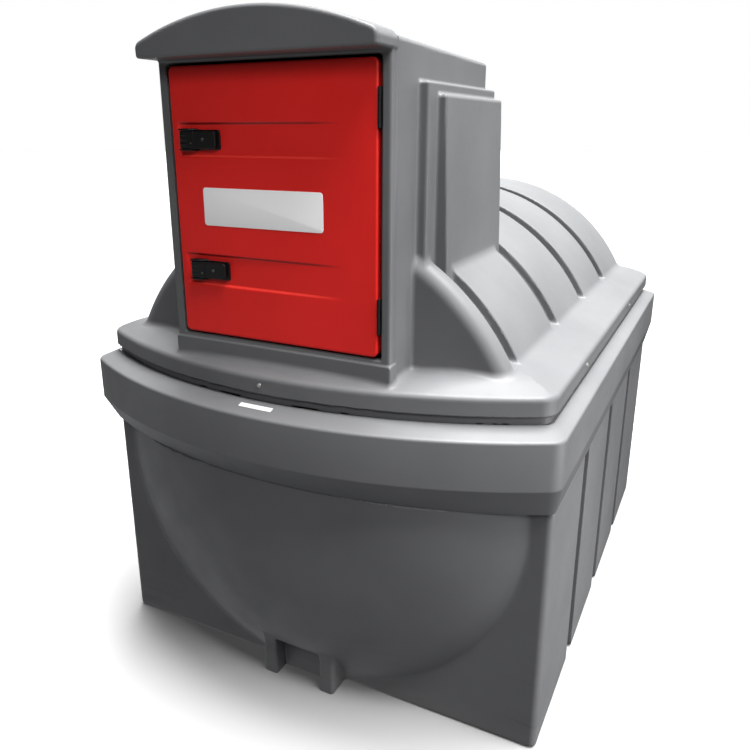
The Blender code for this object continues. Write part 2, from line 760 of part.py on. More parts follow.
def make_door_frame():
    back = CAB_FRONT + FRAME_DEPTH
    top = HOOD_UNDER_Z - GAP
    for side, name in ((-1, "left_jamb"), (1, "right_jamb")):
        low, high = sorted((side * JAMB_INNER_X, side * CAB_HALF_WIDTH))
        box(name, (low, CAB_FRONT, SILL_TOP_Z + GAP), (high, back, top), "tank_plastic")
    box("door_sill", (-CAB_HALF_WIDTH, CAB_FRONT, CAB_BASE_Z), (CAB_HALF_WIDTH, back, SILL_TOP_Z), "tank_plastic")


def on_dome(x):
    """Height just above the dome's flank at x."""
    return DOME_CENTRE_Z + math.sqrt((DOME_RADIUS + GAP) ** 2 - x ** 2)


def pad_loop(pad, x_top, x_low, side, inset_by=0.0, lift=0.0):
    """A pad's outline on an upright plane that may lean out downwards."""
    front, rear, _, _, top = pad
    low_z = on_dome(x_low) + lift + inset_by
    corners = (
        (x_low, front + inset_by, low_z),
        (x_low, rear - inset_by, low_z),
        (x_top, rear - inset_by, top - inset_by),
        (x_top, front + inset_by, top - inset_by),
    )
    return [(side * x, y, z) for x, y, z in corners]


def make_pads():
    """A stepped hollow swelling on each side wall, which ends on the dome."""
    base_x = CAB_HALF_WIDTH + GAP
    step_x = INNER_PAD[2]
    top_x, low_x = OUTER_PAD[2:4]
    for side, name in ((-1, "left_side_pad"), (1, "right_side_pad")):
        outer = [
            pad_loop(INNER_PAD, base_x, base_x, side),
            pad_loop(INNER_PAD, step_x, step_x, side),
            pad_loop(OUTER_PAD, step_x, step_x, side, 0.0, PAD_STEP),
            pad_loop(OUTER_PAD, top_x, low_x, side),
        ]
        inner = [
            pad_loop(OUTER_PAD, top_x - PAD_WALL, low_x - PAD_WALL, side, PAD_WALL),
            pad_loop(OUTER_PAD, step_x - PAD_WALL, step_x - PAD_WALL, side, PAD_WALL, PAD_STEP),
            pad_loop(INNER_PAD, step_x - PAD_WALL, step_x - PAD_WALL, side, PAD_WALL),
            pad_loop(INNER_PAD, base_x, base_x, side, PAD_WALL),
        ]
        cup(name, outer, inner, "tank_plastic")


def rounded_rectangle(half_x, low_z, high_z, radius, steps=4):
    centres = (
        (half_x - radius, high_z - radius, 0.0),
        (-half_x + radius, high_z - radius, math.pi / 2),
        (-half_x + radius, low_z + radius, math.pi),
        (half_x - radius, low_z + radius, 1.5 * math.pi),
    )
    loop = []
    for x, z, start in centres:
        for k in range(steps + 1):
            angle = start + math.pi / 2 * k / steps
            loop.append((x + radius * math.cos(angle), z + radius * math.sin(angle)))
    return loop


def make_door():
    origin = (HINGE_X, HINGE_Y, DOOR_LOW_Z)
    loop = rounded_rectangle(DOOR_HALF_WIDTH, DOOR_LOW_Z, DOOR_HIGH_Z, DOOR_CORNER)
    sections = [[(x, y, z) for x, z in loop] for y in (DOOR_FRONT, DOOR_FRONT + DOOR_THICKNESS)]
    door = loft("door", sections, "door_plastic", origin)
    for label, _, height in LATCHES:
        low = height - CHANNEL_HALF_HEIGHT
        high = height + CHANNEL_HALF_HEIGHT
        plan = (
            (CHANNEL_LEFT, DOOR_FRONT - 0.010),
            (CHANNEL_RIGHT, DOOR_FRONT - 0.010),
            (CHANNEL_RIGHT, DOOR_FRONT),
            (CHANNEL_FLAT_END, DOOR_FRONT + CHANNEL_DEPTH),
            (CHANNEL_LEFT, DOOR_FRONT + CHANNEL_DEPTH),
        )
        sections = [[(x, y, z) for x, y in plan] for z in (low, high)]
        cutter = loft(f"door_{label}_channel", sections, "door_plastic")
        combine(door, cutter, "DIFFERENCE")


def make_hinges():
    for label, height in zip(("lower", "upper"), HINGE_HEIGHTS):
        make_frame_leaf(f"{label}_hinge_frame_leaf", height)
        make_door_leaf(f"{label}_hinge_door_leaf", height)


def make_frame_leaf(name, height):
    """The leaf on the jamb, with the two outer barrels and the pin."""
    leaf_left = JAMB_INNER_X - GAP - 0.0015
    leaf_right = JAMB_INNER_X - GAP
    leaf_front = HINGE_Y + HINGE_BARREL_RADIUS + 0.0010
    low = height - HINGE_HALF_HEIGHT
    high = height + HINGE_HALF_HEIGHT
    leaf = box(name, (leaf_left, leaf_front, low), (leaf_right, CAB_FRONT + FRAME_DEPTH, high), "hinge_steel")
    centre = (HINGE_X, HINGE_Y)
    pin = upright_cylinder(name + "_pin", centre, HINGE_PIN_RADIUS, low + 0.002, high - 0.002, "hinge_steel")
    combine(leaf, pin, "UNION")
    clear = HINGE_MIDDLE_HALF + 0.0005
    for end, (z0, z1) in enumerate(((low, height - clear), (height + clear, high))):
        barrel = upright_cylinder(f"{name}_barrel_{end}", centre, HINGE_BARREL_RADIUS, z0, z1, "hinge_steel")
        web = box(f"{name}_web_{end}", (leaf_left, HINGE_Y, z0), (leaf_right, leaf_front + 0.001, z1), "hinge_steel")
        combine(leaf, barrel, "UNION")
        combine(leaf, web, "UNION")


def make_door_leaf(name, height):
    """The leaf on the door's edge, with the middle barrel round the pin."""
    origin = (HINGE_X, HINGE_Y, height)
    low = height - HINGE_MIDDLE_HALF
    high = height + HINGE_MIDDLE_HALF
    left = DOOR_HALF_WIDTH + GAP
    leaf = box(name, (left, HINGE_Y + 0.0005, low), (left + 0.0012, HINGE_Y + 0.028, high), "hinge_steel", origin)
    centre = (HINGE_X, HINGE_Y)
    barrel = upright_cylinder(name + "_barrel", centre, HINGE_BARREL_RADIUS, low, high, "hinge_steel")
    bore = upright_cylinder(name + "_bore", centre, HINGE_BORE_RADIUS, low - 0.01, high + 0.01, "hinge_steel")
    combine(leaf, barrel, "UNION")
    combine(leaf, bore, "DIFFERENCE")


def make_latches():
    for label, left, height in LATCHES:
        back = DOOR_FRONT + CHANNEL_DEPTH - GAP
        pivot = (left + LATCH_PIVOT_IN, back - LATCH_PIVOT_OUT)
        make_latch_base(f"{label}_latch_base", left, back, pivot, height)
        make_latch_lever(f"{label}_latch_lever", pivot, height)


def make_latch_base(name, left, back, pivot, height):
    """A plate on the door with two ears that hold the lever's pin."""
    front = back - LATCH_PLATE
    low = height - LATCH_HALF_HEIGHT
    high = height + LATCH_HALF_HEIGHT
    base = box(name, (left, front, low), (left + LATCH_LENGTH, back, high), "latch_plastic")
    ear_front = pivot[1] - LATCH_PIN_RADIUS - 0.0035
    ear_right = pivot[0] + LATCH_PIVOT_IN
    for end, (z0, z1) in enumerate(((low, low + LATCH_EAR), (high - LATCH_EAR, high))):
        ear = box(f"{name}_ear_{end}", (left, ear_front, z0), (ear_right, front + 0.001, z1), "latch_plastic")
        combine(base, ear, "UNION")
    bore = upright_cylinder(name + "_bore", pivot, LATCH_BORE_RADIUS, low + 0.001, high - 0.001, "latch_plastic")
    return combine(base, bore, "DIFFERENCE")


def make_latch_lever(name, pivot, height):
    """The lever, round at its pinned end, with the pin's two stubs."""
    half = LEVER_THICKNESS / 2
    plan = []
    for k in range(9):
        angle = math.pi / 2 + math.pi * k / 8
        plan.append((pivot[0] + half * math.cos(angle), pivot[1] + half * math.sin(angle)))
    end_x = pivot[0] + LEVER_LENGTH
    plan += [(end_x - 0.004, pivot[1] - half), (end_x, pivot[1] - half + 0.004), (end_x, pivot[1] + half)]
    sections = []
    for z in (height - LEVER_HALF_HEIGHT, height + LEVER_HALF_HEIGHT):
        sections.append([(x, y, z) for x, y in plan])
    lever = loft(name, sections, "latch_plastic", (*pivot, height))
    reach = LATCH_HALF_HEIGHT - 0.0015
    pin = upright_cylinder(
        name + "_pin", pivot, LATCH_PIN_RADIUS, height - reach, height + reach, "latch_plastic"
    )
    return combine(lever, pin, "UNION")


def main():
    clear_objects()
    make_bund()
    make_collar()
    make_lid()
    make_dome()
    make_roof()
    make_hood()
    make_cabinet_walls()
    make_door_frame()
    make_pads()
    make_door()
    make_hinges()
    make_latches()


main()
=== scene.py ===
"""Looks of the bunded plastic fuel tank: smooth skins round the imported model. Metres, front towards -Y."""

import json
import math

import bmesh
import bpy
import numpy as np
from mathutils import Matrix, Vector


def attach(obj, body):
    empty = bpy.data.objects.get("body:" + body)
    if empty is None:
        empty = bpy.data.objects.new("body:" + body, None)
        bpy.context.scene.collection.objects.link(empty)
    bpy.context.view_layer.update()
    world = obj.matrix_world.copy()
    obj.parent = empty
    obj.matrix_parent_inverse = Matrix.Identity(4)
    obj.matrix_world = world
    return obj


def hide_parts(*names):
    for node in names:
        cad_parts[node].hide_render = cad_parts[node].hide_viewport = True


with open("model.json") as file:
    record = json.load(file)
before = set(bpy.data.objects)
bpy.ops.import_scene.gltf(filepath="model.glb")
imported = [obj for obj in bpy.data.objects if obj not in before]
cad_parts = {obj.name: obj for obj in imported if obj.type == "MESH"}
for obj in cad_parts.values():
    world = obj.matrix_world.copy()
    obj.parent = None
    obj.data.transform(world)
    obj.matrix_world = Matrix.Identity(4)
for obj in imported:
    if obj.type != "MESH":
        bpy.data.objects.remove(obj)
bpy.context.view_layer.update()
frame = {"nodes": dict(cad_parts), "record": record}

GRID_SCALE = 1.0
SIDES = (-1, 1)

# Camera, solved from the photograph
LENS = 34.69
SENSOR = 36.0
SHIFT = (0.0093, -0.0328)
CAMERA_PLACE = (1.001, -2.417, 1.594)
CAMERA_PITCH = 73.04
CAMERA_YAW = 26.94

# Light: each glow of the world has an axis, the power of its falloff and a strength, each sun a direction,
# power and width, each softbox a place, target, size, power and spread
WALL_GLOW = ((-0.40, 0.92, 0.0), 5.0, 2.60)
UNDER_GLOW = ((0.0, 0.0, -1.0), 1.0, 0.20)
LEFT_GLOW = ((-0.8, -0.2, -0.55), 2.0, 0.54)
SUNS = (
    ("overhead_light", (0.0, 0.15, 1.0), 8.7, 28.0),
    ("right_overhead_light", (0.4, -0.05, 0.9), 7.0, 28.0),
)
SOFTBOXES = (
    ("rear_softbox", (2.6, 3.0, 4.6), (0.2, 0.0, 0.9), 3.0, 119.0, 180.0),
    ("upper_right_softbox", (3.1, -1.2, 2.2), (0.4, -0.6, 1.2), 1.2, 37.0, 180.0),
    ("side_softbox", (2.6, -0.55, 0.55), (0.7, -0.50, 0.40), 0.7, 9.0, 90.0),
    ("rear_left_softbox", (-3.4, 3.6, 2.2), (0.0, 0.0, 0.6), 2.0, 90.0, 180.0),
    ("front_softbox", (1.4, -3.6, 3.2), (0.1, -0.9, 1.0), 1.2, 10.0, 75.0),
)
WORLD_COLOUR = (0.97, 0.985, 1.0)
HORIZON = (-0.10, -0.04)
FLOOR_SHADE = 0.30
STAGE_REACH = 60.0
BACKDROP_REACH = STAGE_REACH * 0.98

# Tub
TUB_HALF_WIDTH = 0.700
TUB_HALF_LENGTH = 0.840
TUB_TOP = 0.7147
TUB_EDGE = 0.018
TUB_RIM_ROUND = TUB_EDGE * 0.7
TUB_SOLE_ROUND = 0.003
SWELL_RADIUS = 0.646
SWELL_CENTRE_Z = 0.652
SWELL_DEPTH = 0.165
SWELL_POWER = 2.9
SWELL_BLEND = 0.004
SWELL_FOOT_Z = 0.004
SWELL_SIDE = 0.655
SWELL_START = 0.60
FOOT_HALF_WIDTH = 0.120
FOOT_FRONT = 0.913
FOOT_BACK = 0.70
FOOT_HEIGHT = 0.142
FOOT_SLOPE = 0.35
FOOT_ROUND = 0.009
FOOT_BLEND = 0.012
POCKET_HALF_WIDTH = 0.075
POCKET_HEIGHT = 0.130
POCKET_BACK = 0.865
POCKET_ROUND = 0.006
SIDE_GROOVE_PITCH = 0.420
SIDE_GROOVE_DEPTH = 0.022
SIDE_GROOVE_HALF_WIDTH = 0.037
SIDE_GROOVE_LIP = 0.002
SIDE_GROOVE_RUN_OUT = (0.640, 0.714)

# Collar: half width, corner y, bow depth and corner radius of each outline
COLLAR_LOW = (0.702, 0.845, 0.165, 0.030)
COLLAR_FACE = (0.720, 0.885, 0.195, 0.050)
COLLAR_CREST = (0.679, 0.836, 0.180, 0.026)
COLLAR_SEAT = (0.675, 0.832, 0.180, 0.024)
COLLAR_INNER = (0.655, 0.828, 0.180, 0.030)
COLLAR_LOW_Z = 0.712
COLLAR_BEND_Z = 0.797
COLLAR_FACE_Z = 0.920
COLLAR_CREST_Z = 0.939
COLLAR_TOP_Z = 0.935
COLLAR_WALL = 0.014

# Lid
LID_OUTLINE = (0.685, 0.842, 0.180, 0.030)
LID_SOLE_Z = 0.9353
LID_LIP_Z = 0.958
LID_LIP_INSET = 0.012
LID_TOP_Z = 1.005
LID_EDGE_ROUND = 0.008
LID_SOLE_ROUND = 0.004
DECK_SLOPE = 0.42
DECK_LOW_Z = 1.022
DECK_HIGH_Z = 1.045
DECK_RISE = (0.345, 0.530)
DECK_BLEND = 0.020
SKIN_FOOT_Z = LID_TOP_Z - 0.03

# Dome: each groove's place along the tank and half width
DOME_RADIUS = 0.637
DOME_CENTRE_Z = 0.757
DOME_FRONT = -0.840
DOME_REAR = 0.810
DOME_RIM = 0.039
DOME_BLEND = 0.012
GROOVES = ((-0.766, 0.0235), (-0.3545, 0.034), (0.0405, 0.034), (0.4205, 0.034))
GROOVE_DEPTH = 0.025
GROOVE_NEAR_LIP = 0.010
GROOVE_FAR_LIP = 0.005
GROOVE_FOOT = 0.005

# Cabinet
CAB_HALF_WIDTH = 0.318
CAB_FRONT = -0.960
CAB_REAR = -0.3403
CAB_WALL = 0.012
CAB_ROUND = 0.007
CAB_BLEND = 0.011
FRAME_BACK = -0.940
BEAD_Y = -0.9365
BEAD_RADIUS = 0.0030
BEAD_FADE = (1.15, 1.65)
SILL_PROUD = 0.004
SILL_RAIL_TOP = 1.064
SILL_RAIL_BACK = FRAME_BACK + 0.012
TRIM_BLEND = 0.003
ROOF_SIDE_Z = 1.782
ROOF_RISE = 0.060
ROOF_FALL = 0.013
OPENING_HALF_WIDTH = 0.2925
OPENING_TOP_Z = 1.748
OPENING_LIP = 0.004
SILL_TOP_Z = 1.074
FLOOR_TOP_Z = 1.0343
ROOM_ROUND = 0.006
HOOD_FRONT = -1.040
HOOD_LEAN = 0.060
HOOD_HALF_WIDTH = 0.320
HOOD_UNDER_Z = 1.755
HOOD_SIDE_Z = 1.788
HOOD_RISE = 0.064
HOOD_ROUND = 0.010
HOOD_END_ROUND = 0.014
HOOD_UNDER_ROUND = 0.006
HOOD_BACK_ROUND = 0.004
HOOD_BLEND = 0.004

# Side pads: front, half width at the top, top, lean and inset from the cabinet's rear
PADS = ((-0.822, 0.345, 1.700, 0.0, 0.0), (-0.772, 0.368, 1.674, 0.035, 0.005))
PAD_FOOT_Z = 1.05
PAD_ROUND = 0.0055
PAD_BLEND = 0.008

# Door
DOOR_HALF_WIDTH = 0.285
DOOR_LOW_Z = 1.080
DOOR_HIGH_Z = 1.742
DOOR_FRONT = -0.9625
DOOR_BACK = -0.9305
DOOR_CORNER = 0.014
DOOR_ROUND = 0.005
DOOR_BACK_ROUND = 0.003
CHANNEL_LEFT = -0.262
CHANNEL_FLAT_END = -0.125
CHANNEL_RIGHT = 0.205
CHANNEL_HALF_HEIGHT = 0.038
CHANNEL_DEPTH = 0.006
CHANNEL_END = (CHANNEL_LEFT - 0.008, CHANNEL_LEFT + 0.004)
CHANNEL_LIP = (CHANNEL_HALF_HEIGHT - 0.004, CHANNEL_HALF_HEIGHT + 0.005)

# Latches: name, left end and height of each, then sizes in a latch's own u (from its left end),
# w (outwards from the door) and v (up from its middle)
LATCHES = (("upper", -0.2570, 1.571), ("lower", -0.2490, 1.250))
LATCH_BACK = DOOR_FRONT + CHANNEL_DEPTH - 0.0003
LATCH_LENGTH = 0.117
LATCH_HALF_HEIGHT = 0.0265
LATCH_NARROW = 0.0028
LATCH_NECK = (0.044, 0.056)
LATCH_CORNER = 0.007
LATCH_PLATE = 0.004
PLATE_EDGE = 0.0015
HOUSING_TOP = 0.0195
HOUSING_SLOPE = (0.026, 0.058)
HOUSING_END = 0.064
HOUSING_EDGE = 0.0022
CHEEK_WALL = 0.0043
CHEEK_ROUND = 0.0008
LATCH_PIVOT = (0.0085, 0.0140)
PIN_RADIUS = 0.002
LEVER_LENGTH = 0.102
LEVER_HALF_HEIGHT = 0.0205
LEVER_HALF_THICKNESS = 0.005
LEVER_CORNER = 0.006
LEVER_EDGE = 0.0018
LEVER_STEP = 0.0018
LEVER_STEP_SPAN = (0.036, 0.042)
RIB_HEIGHTS = (-0.011, 0.0, 0.011)
RIB_SPAN = (0.002, 0.016)
RIB_RADIUS = 0.0016
RIB_SUNK = 0.0006
LOCK_PLACE = (0.066, 0.001)
LOCK_RADIUS = 0.0042
LOCK_PROUD = 0.0010
KEY_SLOT = (0.0006, 0.0028, 0.0012)
RIVET_PLACE = (0.031, -0.0075)
RIVET_RADIUS = 0.0026
RIVET_PROUD = 0.0007
HEAD_EDGE = 0.0005

# Door plate, as inset and rise of each step of its edge, and the collar's label
PLATE_LEFT = -0.199
PLATE_RIGHT = 0.146
PLATE_LOW_Z = 1.364
PLATE_HIGH_Z = 1.457
PLATE_CORNER = 0.008
PLATE_STEPS = ((0.0, 0.0), (0.0, 0.0009), (0.0003, 0.0013), (0.0010, 0.0015))
LABEL_LEFT = -0.062
LABEL_RIGHT = 0.035
LABEL_SHARES = (0.29, 0.51)
LABEL_LIFTS = (0.0001, 0.0007)
LEDGE_NORMAL = (-0.33, 0.94)

# Screws: each ring of the head has a radius, or half its width across flats, and a height
SCREW_Z = 0.983
SIDE_SCREWS = (-0.481, 0.307)
END_SCREW_X = -0.014
SCREW_SINK = 0.0002
SCREW_RINGS = (
    (0.0062, 0.0, 0.0), (0.0062, 0.0, 0.0007), (0.0059, 0.0, 0.0010), (0.0045, 0.0, 0.0011),
    (0.0, 0.0042, 0.0011), (0.0, 0.0042, 0.0036), (0.0036, 0.0, 0.0042),
)


# Distance fields. Each takes x, y and z arrays and is negative inside.

def round_join(a, b, radius):
    """Union with a concave fillet."""
    u = np.maximum(radius - a, 0.0)
    v = np.maximum(radius - b, 0.0)
    return np.maximum(radius, np.minimum(a, b)) - np.sqrt(u * u + v * v)


def round_meet(a, b, radius):
    """Intersection with a convex round edge."""
    u = np.maximum(radius + a, 0.0)
    v = np.maximum(radius + b, 0.0)
    return np.minimum(-radius, np.maximum(a, b)) + np.sqrt(u * u + v * v)


def round_cut(a, b, radius):
    """The first shape without the second, with round lips."""
    return round_meet(a, -b, radius)


def soft_step(value, low, high):
    share = np.clip((value - low) / (high - low), 0.0, 1.0)
    return share * share * (3.0 - 2.0 * share)


def slab(value, low, high):
    middle = (low + high) / 2
    return np.abs(value - middle) - (high - low) / 2


def arc_radius(half, rise):
    """Radius of the arc over a chord."""
    return (half * half + rise * rise) / (2 * rise)


def bowed_outline(x, y, outline):
    """Distance to a plan outline: straight sides and bowed ends that meet in round corners."""
    half, corner, bow, fillet = outline
    radius = arc_radius(half, bow)
    centre = radius - corner - bow
    ends = np.sqrt(x * x + (np.abs(y) + centre) ** 2) - radius
    return round_meet(np.abs(x) - half, ends, fillet)


def tub_walls_field(ax, y, z):
    """The four walls, with upright grooves in the sides that run out below the collar."""
    side = ax - TUB_HALF_WIDTH
    floor_x = TUB_HALF_WIDTH - SIDE_GROOVE_DEPTH * (1.0 - soft_step(z, *SIDE_GROOVE_RUN_OUT))
    for k in (-1, 0, 1):
        off = np.abs(y - k * SIDE_GROOVE_PITCH)
        channel = round_meet(off - SIDE_GROOVE_HALF_WIDTH, floor_x - ax, SIDE_GROOVE_LIP)
        side = round_cut(side, channel, SIDE_GROOVE_LIP)
    walls = round_meet(side, np.abs(y) - TUB_HALF_LENGTH, TUB_EDGE)
    return round_meet(walls, slab(z, 0.0, TUB_TOP), TUB_RIM_ROUND)


def swelling_field(ax, ay, z):
    """The round bulge in each end. The factor 0.85 allows for its slope."""
    off_axis = np.sqrt(ax * ax + (z - SWELL_CENTRE_Z) ** 2)
    share = np.minimum(off_axis / SWELL_RADIUS, 1.4)
    bulge = TUB_HALF_LENGTH + SWELL_DEPTH * (1.0 - share ** SWELL_POWER)
    swelling = np.maximum((ay - bulge) * 0.85, slab(z, SWELL_FOOT_Z, TUB_TOP))
    return np.maximum(np.maximum(swelling, SWELL_START - ay), ax - SWELL_SIDE)


def tub_field(x, y, z):
    """The whole tub, with a foot and its recess at each end. The factor 0.94 allows for the foot's slope."""
    ax = np.abs(x)
    ay = np.abs(y)
    body = round_join(tub_walls_field(ax, y, z), swelling_field(ax, ay, z), SWELL_BLEND)
    foot = round_meet(ax - FOOT_HALF_WIDTH, ay - FOOT_FRONT, FOOT_ROUND)
    top = (z - FOOT_HEIGHT - FOOT_SLOPE * (FOOT_FRONT - ay)) * 0.94
    foot = np.maximum(round_meet(foot, top, FOOT_BLEND), FOOT_BACK - ay)
    body = round_join(body, foot, FOOT_BLEND)
    pocket = round_meet(ax - POCKET_HALF_WIDTH, z - POCKET_HEIGHT, POCKET_ROUND)
    pocket = np.maximum(pocket, POCKET_BACK - ay)
    return round_meet(round_cut(body, pocket, POCKET_ROUND), -z, TUB_SOLE_ROUND)


def deck_top(x, y, edge):
    """Height of the lid's top: it slopes up from the edge to a flat deck, lower beside the cabinet."""
    rise = np.clip((np.abs(x) - DECK_RISE[0]) / (DECK_RISE[1] - DECK_RISE[0]), 0.0, 1.0)
    front = DECK_LOW_Z + (DECK_HIGH_Z - DECK_LOW_Z) * rise
    level = np.where(y < 0.0, front, DECK_HIGH_Z)
    slope = LID_TOP_Z - DECK_SLOPE * edge
    share = np.clip(0.5 + (level - slope) / (2 * DECK_BLEND), 0.0, 1.0)
    return level + (slope - level) * share - DECK_BLEND * share * (1.0 - share)


def lid_field(x, y, z):
    """The lid's lip and sloping top, on a neck. The factor 0.92 allows for the top's slope."""
    edge = bowed_outline(x, y, LID_OUTLINE)
    top = (z - deck_top(x, y, edge)) * 0.92
    lip = round_meet(round_meet(edge, top, LID_EDGE_ROUND), LID_LIP_Z - z, LID_SOLE_ROUND)
    neck = np.maximum(np.maximum(edge + LID_LIP_INSET, LID_SOLE_Z - z), z - LID_TOP_Z + 0.02)
    return np.minimum(lip, neck)


def dome_field(x, y, z):
    radius = np.sqrt(x * x + (z - DOME_CENTRE_Z) ** 2)
    dome = round_meet(radius - DOME_RADIUS, slab(y, DOME_FRONT, DOME_REAR), DOME_RIM)
    for place, half in GROOVES:
        ring = round_meet(np.abs(y - place) - half, DOME_RADIUS - GROOVE_DEPTH - radius, GROOVE_FOOT)
        dome = round_cut(dome, ring, np.where(y < place, GROOVE_NEAR_LIP, GROOVE_FAR_LIP))
    return np.maximum(dome, SKIN_FOOT_Z - z)


def arch(x, z, side_z, half, rise):
    radius = arc_radius(half, rise)
    return np.sqrt(x * x + (z - side_z - rise + radius) ** 2) - radius


def roof_arch(x, y, z, depth=0.0):
    """The cabinet's arched roof, which falls slightly to the rear, or the arch at a depth below it."""
    fall = ROOF_FALL * np.clip((y - FRAME_BACK) / (CAB_REAR - FRAME_BACK), 0.0, 1.0)
    return arch(x, z + fall + depth, ROOF_SIDE_Z, CAB_HALF_WIDTH, ROOF_RISE)


def cabinet_field(x, y, z):
    """The cabinet's outside, with beads on its front corners, a rail under the door and stepped pads."""
    ax = np.abs(x)
    body = round_meet(ax - CAB_HALF_WIDTH, slab(y, CAB_FRONT, CAB_REAR), CAB_ROUND)
    body = round_meet(body, roof_arch(x, y, z), CAB_ROUND)
    body = np.maximum(body, SKIN_FOOT_Z - z)
    bead = np.sqrt((ax - CAB_HALF_WIDTH) ** 2 + (y - BEAD_Y) ** 2) - BEAD_RADIUS * soft_step(z, *BEAD_FADE)
    body = round_join(body, np.maximum(bead, z - ROOF_SIDE_Z), TRIM_BLEND)
    rail_depth = slab(y, CAB_FRONT - SILL_PROUD, SILL_RAIL_BACK)
    rail = round_meet(ax - CAB_HALF_WIDTH - SILL_PROUD, rail_depth, 0.006)
    rail = round_meet(rail, slab(z, SKIN_FOOT_Z, SILL_RAIL_TOP), 0.004)
    body = round_join(body, rail, TRIM_BLEND)
    for front, half, top, lean, inset in PADS:
        pad = round_meet(ax - half - lean * (top - z), front - y, PAD_ROUND)
        pad = round_meet(pad, z - top, PAD_ROUND)
        pad = np.maximum(round_meet(pad, y - CAB_REAR + inset, PAD_ROUND), PAD_FOOT_Z - z)
        body = round_join(body, pad, PAD_BLEND)
    return body


def hood_field(x, y, z):
    top = arch(x, z, HOOD_SIDE_Z, HOOD_HALF_WIDTH, HOOD_RISE)
    hood = round_meet(np.abs(x) - HOOD_HALF_WIDTH, top, HOOD_END_ROUND)
    face = HOOD_FRONT + HOOD_LEAN * (HOOD_SIDE_Z + HOOD_RISE - z)
    hood = round_meet(hood, face - y, HOOD_ROUND)
    hood = round_meet(hood, y - FRAME_BACK, HOOD_BACK_ROUND)
    return round_meet(hood, HOOD_UNDER_Z - z, HOOD_UNDER_ROUND)


def cavity_field(x, y, z):
    """The cabinet's inside and its door opening."""
    ax = np.abs(x)
    room_depth = slab(y, FRAME_BACK, CAB_REAR - CAB_WALL)
    room = round_meet(ax - CAB_HALF_WIDTH + CAB_WALL, room_depth, ROOM_ROUND)
    room = round_meet(room, FLOOR_TOP_Z - z, ROOM_ROUND)
    room = round_meet(room, roof_arch(x, y, z, CAB_WALL), ROOM_ROUND)
    way = round_meet(ax - OPENING_HALF_WIDTH, slab(z, SILL_TOP_Z, OPENING_TOP_Z), ROOM_ROUND)
    way = np.maximum(way, slab(y, CAB_FRONT - 0.02, FRAME_BACK + 0.01))
    return np.minimum(room, way)


def moulding_field(x, y, z):
    """The lid, dome and cabinet as the one moulding that they are."""
    body = round_join(lid_field(x, y, z), dome_field(x, y, z), DOME_BLEND)
    body = round_join(body, cabinet_field(x, y, z), CAB_BLEND)
    body = round_join(body, hood_field(x, y, z), HOOD_BLEND)
    return round_cut(body, cavity_field(x, y, z), OPENING_LIP)


def door_field(x, y, z):
    """The door, with a pressed channel behind each latch that tapers out to the right."""
    ax = np.abs(x)
    plate = round_meet(ax - DOOR_HALF_WIDTH, slab(z, DOOR_LOW_Z, DOOR_HIGH_Z), DOOR_CORNER)
    front = DOOR_FRONT - y
    for _, _, height in LATCHES:
        along = soft_step(x, *CHANNEL_END)
        taper = np.clip((CHANNEL_RIGHT - x) / (CHANNEL_RIGHT - CHANNEL_FLAT_END), 0.0, 1.0)
        across = 1.0 - soft_step(np.abs(z - height), *CHANNEL_LIP)
        front = front + CHANNEL_DEPTH * along * taper * across
    return round_meet(round_meet(plate, front, DOOR_ROUND), y - DOOR_BACK, DOOR_BACK_ROUND)


# Meshes from fields

def near(places, reach, step):
    """Grid refinement round each of some places."""
    return [(place, reach, step) for place in places]


def mirrored(*places):
    return [side * place for place in places for side in SIDES]


def axis_places(low, high, step, fine=()):
    """Grid places along one axis, closer together near each (place, reach, step) in fine."""
    growth = 0.35
    places = [low]
    while places[-1] < high:
        here = places[-1]
        size = step
        for place, reach, small in fine:
            away = max(abs(here + small / 2 - place) - reach, 0.0)
            size = min(size, small + growth * away)
        places.append(here + size * GRID_SCALE)
    return np.array(places)


def is_edge(first, second):
    return sum(abs(p - q) for p, q in zip(first, second)) == 1


CORNERS = [(i, j, k) for i in (0, 1) for j in (0, 1) for k in (0, 1)]
EDGES = [(a, b) for a in range(8) for b in range(a + 1, 8) if is_edge(CORNERS[a], CORNERS[b])]


def slope_of(field, points):
    """Central differences of a field at points."""
    step = 2e-4
    out = np.empty_like(points)
    for axis in range(3):
        shift = np.zeros(3)
        shift[axis] = step
        ahead = field(*(points + shift).T)
        behind = field(*(points - shift).T)
        out[:, axis] = (ahead - behind) / (2 * step)
    return out


def grid_values(field, xs, ys, zs):
    """A field on a grid, worked out in slices that fit in memory."""
    depth = 24
    slices = []
    for start in range(0, len(xs), depth):
        part = xs[start:start + depth, None, None]
        slices.append(field(part, ys[None, :, None], zs[None, None, :]))
    return np.concatenate(slices)


def cell_points(field, values, cells, xs, ys, zs):
    """A point in each cell: the mean of its edge crossings, moved along the slope to the surface."""
    corner_values = np.stack([values[tuple((cells + corner).T)] for corner in CORNERS], axis=1)
    corner_places = np.stack([
        np.stack([xs[cells[:, 0] + i], ys[cells[:, 1] + j], zs[cells[:, 2] + k]], axis=1)
        for i, j, k in CORNERS
    ], axis=1)
    total = np.zeros((len(cells), 3))
    hits = np.zeros(len(cells))
    for a, b in EDGES:
        va, vb = corner_values[:, a], corner_values[:, b]
        cross = (va < 0) != (vb < 0)
        share = np.where(cross, va / np.where(cross, va - vb, 1.0), 0.0)[:, None]
        crossing = corner_places[:, a] * (1 - share) + corner_places[:, b] * share
        total += np.where(cross[:, None], crossing, 0.0)
        hits += cross
    points = total / hits[:, None]
    low = corner_places[:, 0]
    high = corner_places[:, 7]
    margin = 0.2 * (high - low)
    for _ in range(5):
        slope = slope_of(field, points)
        length = np.maximum((slope ** 2).sum(1), 0.05)
        points = points - (field(*points.T) / length)[:, None] * slope
        points = np.clip(points, low - margin, high + margin)
    return points


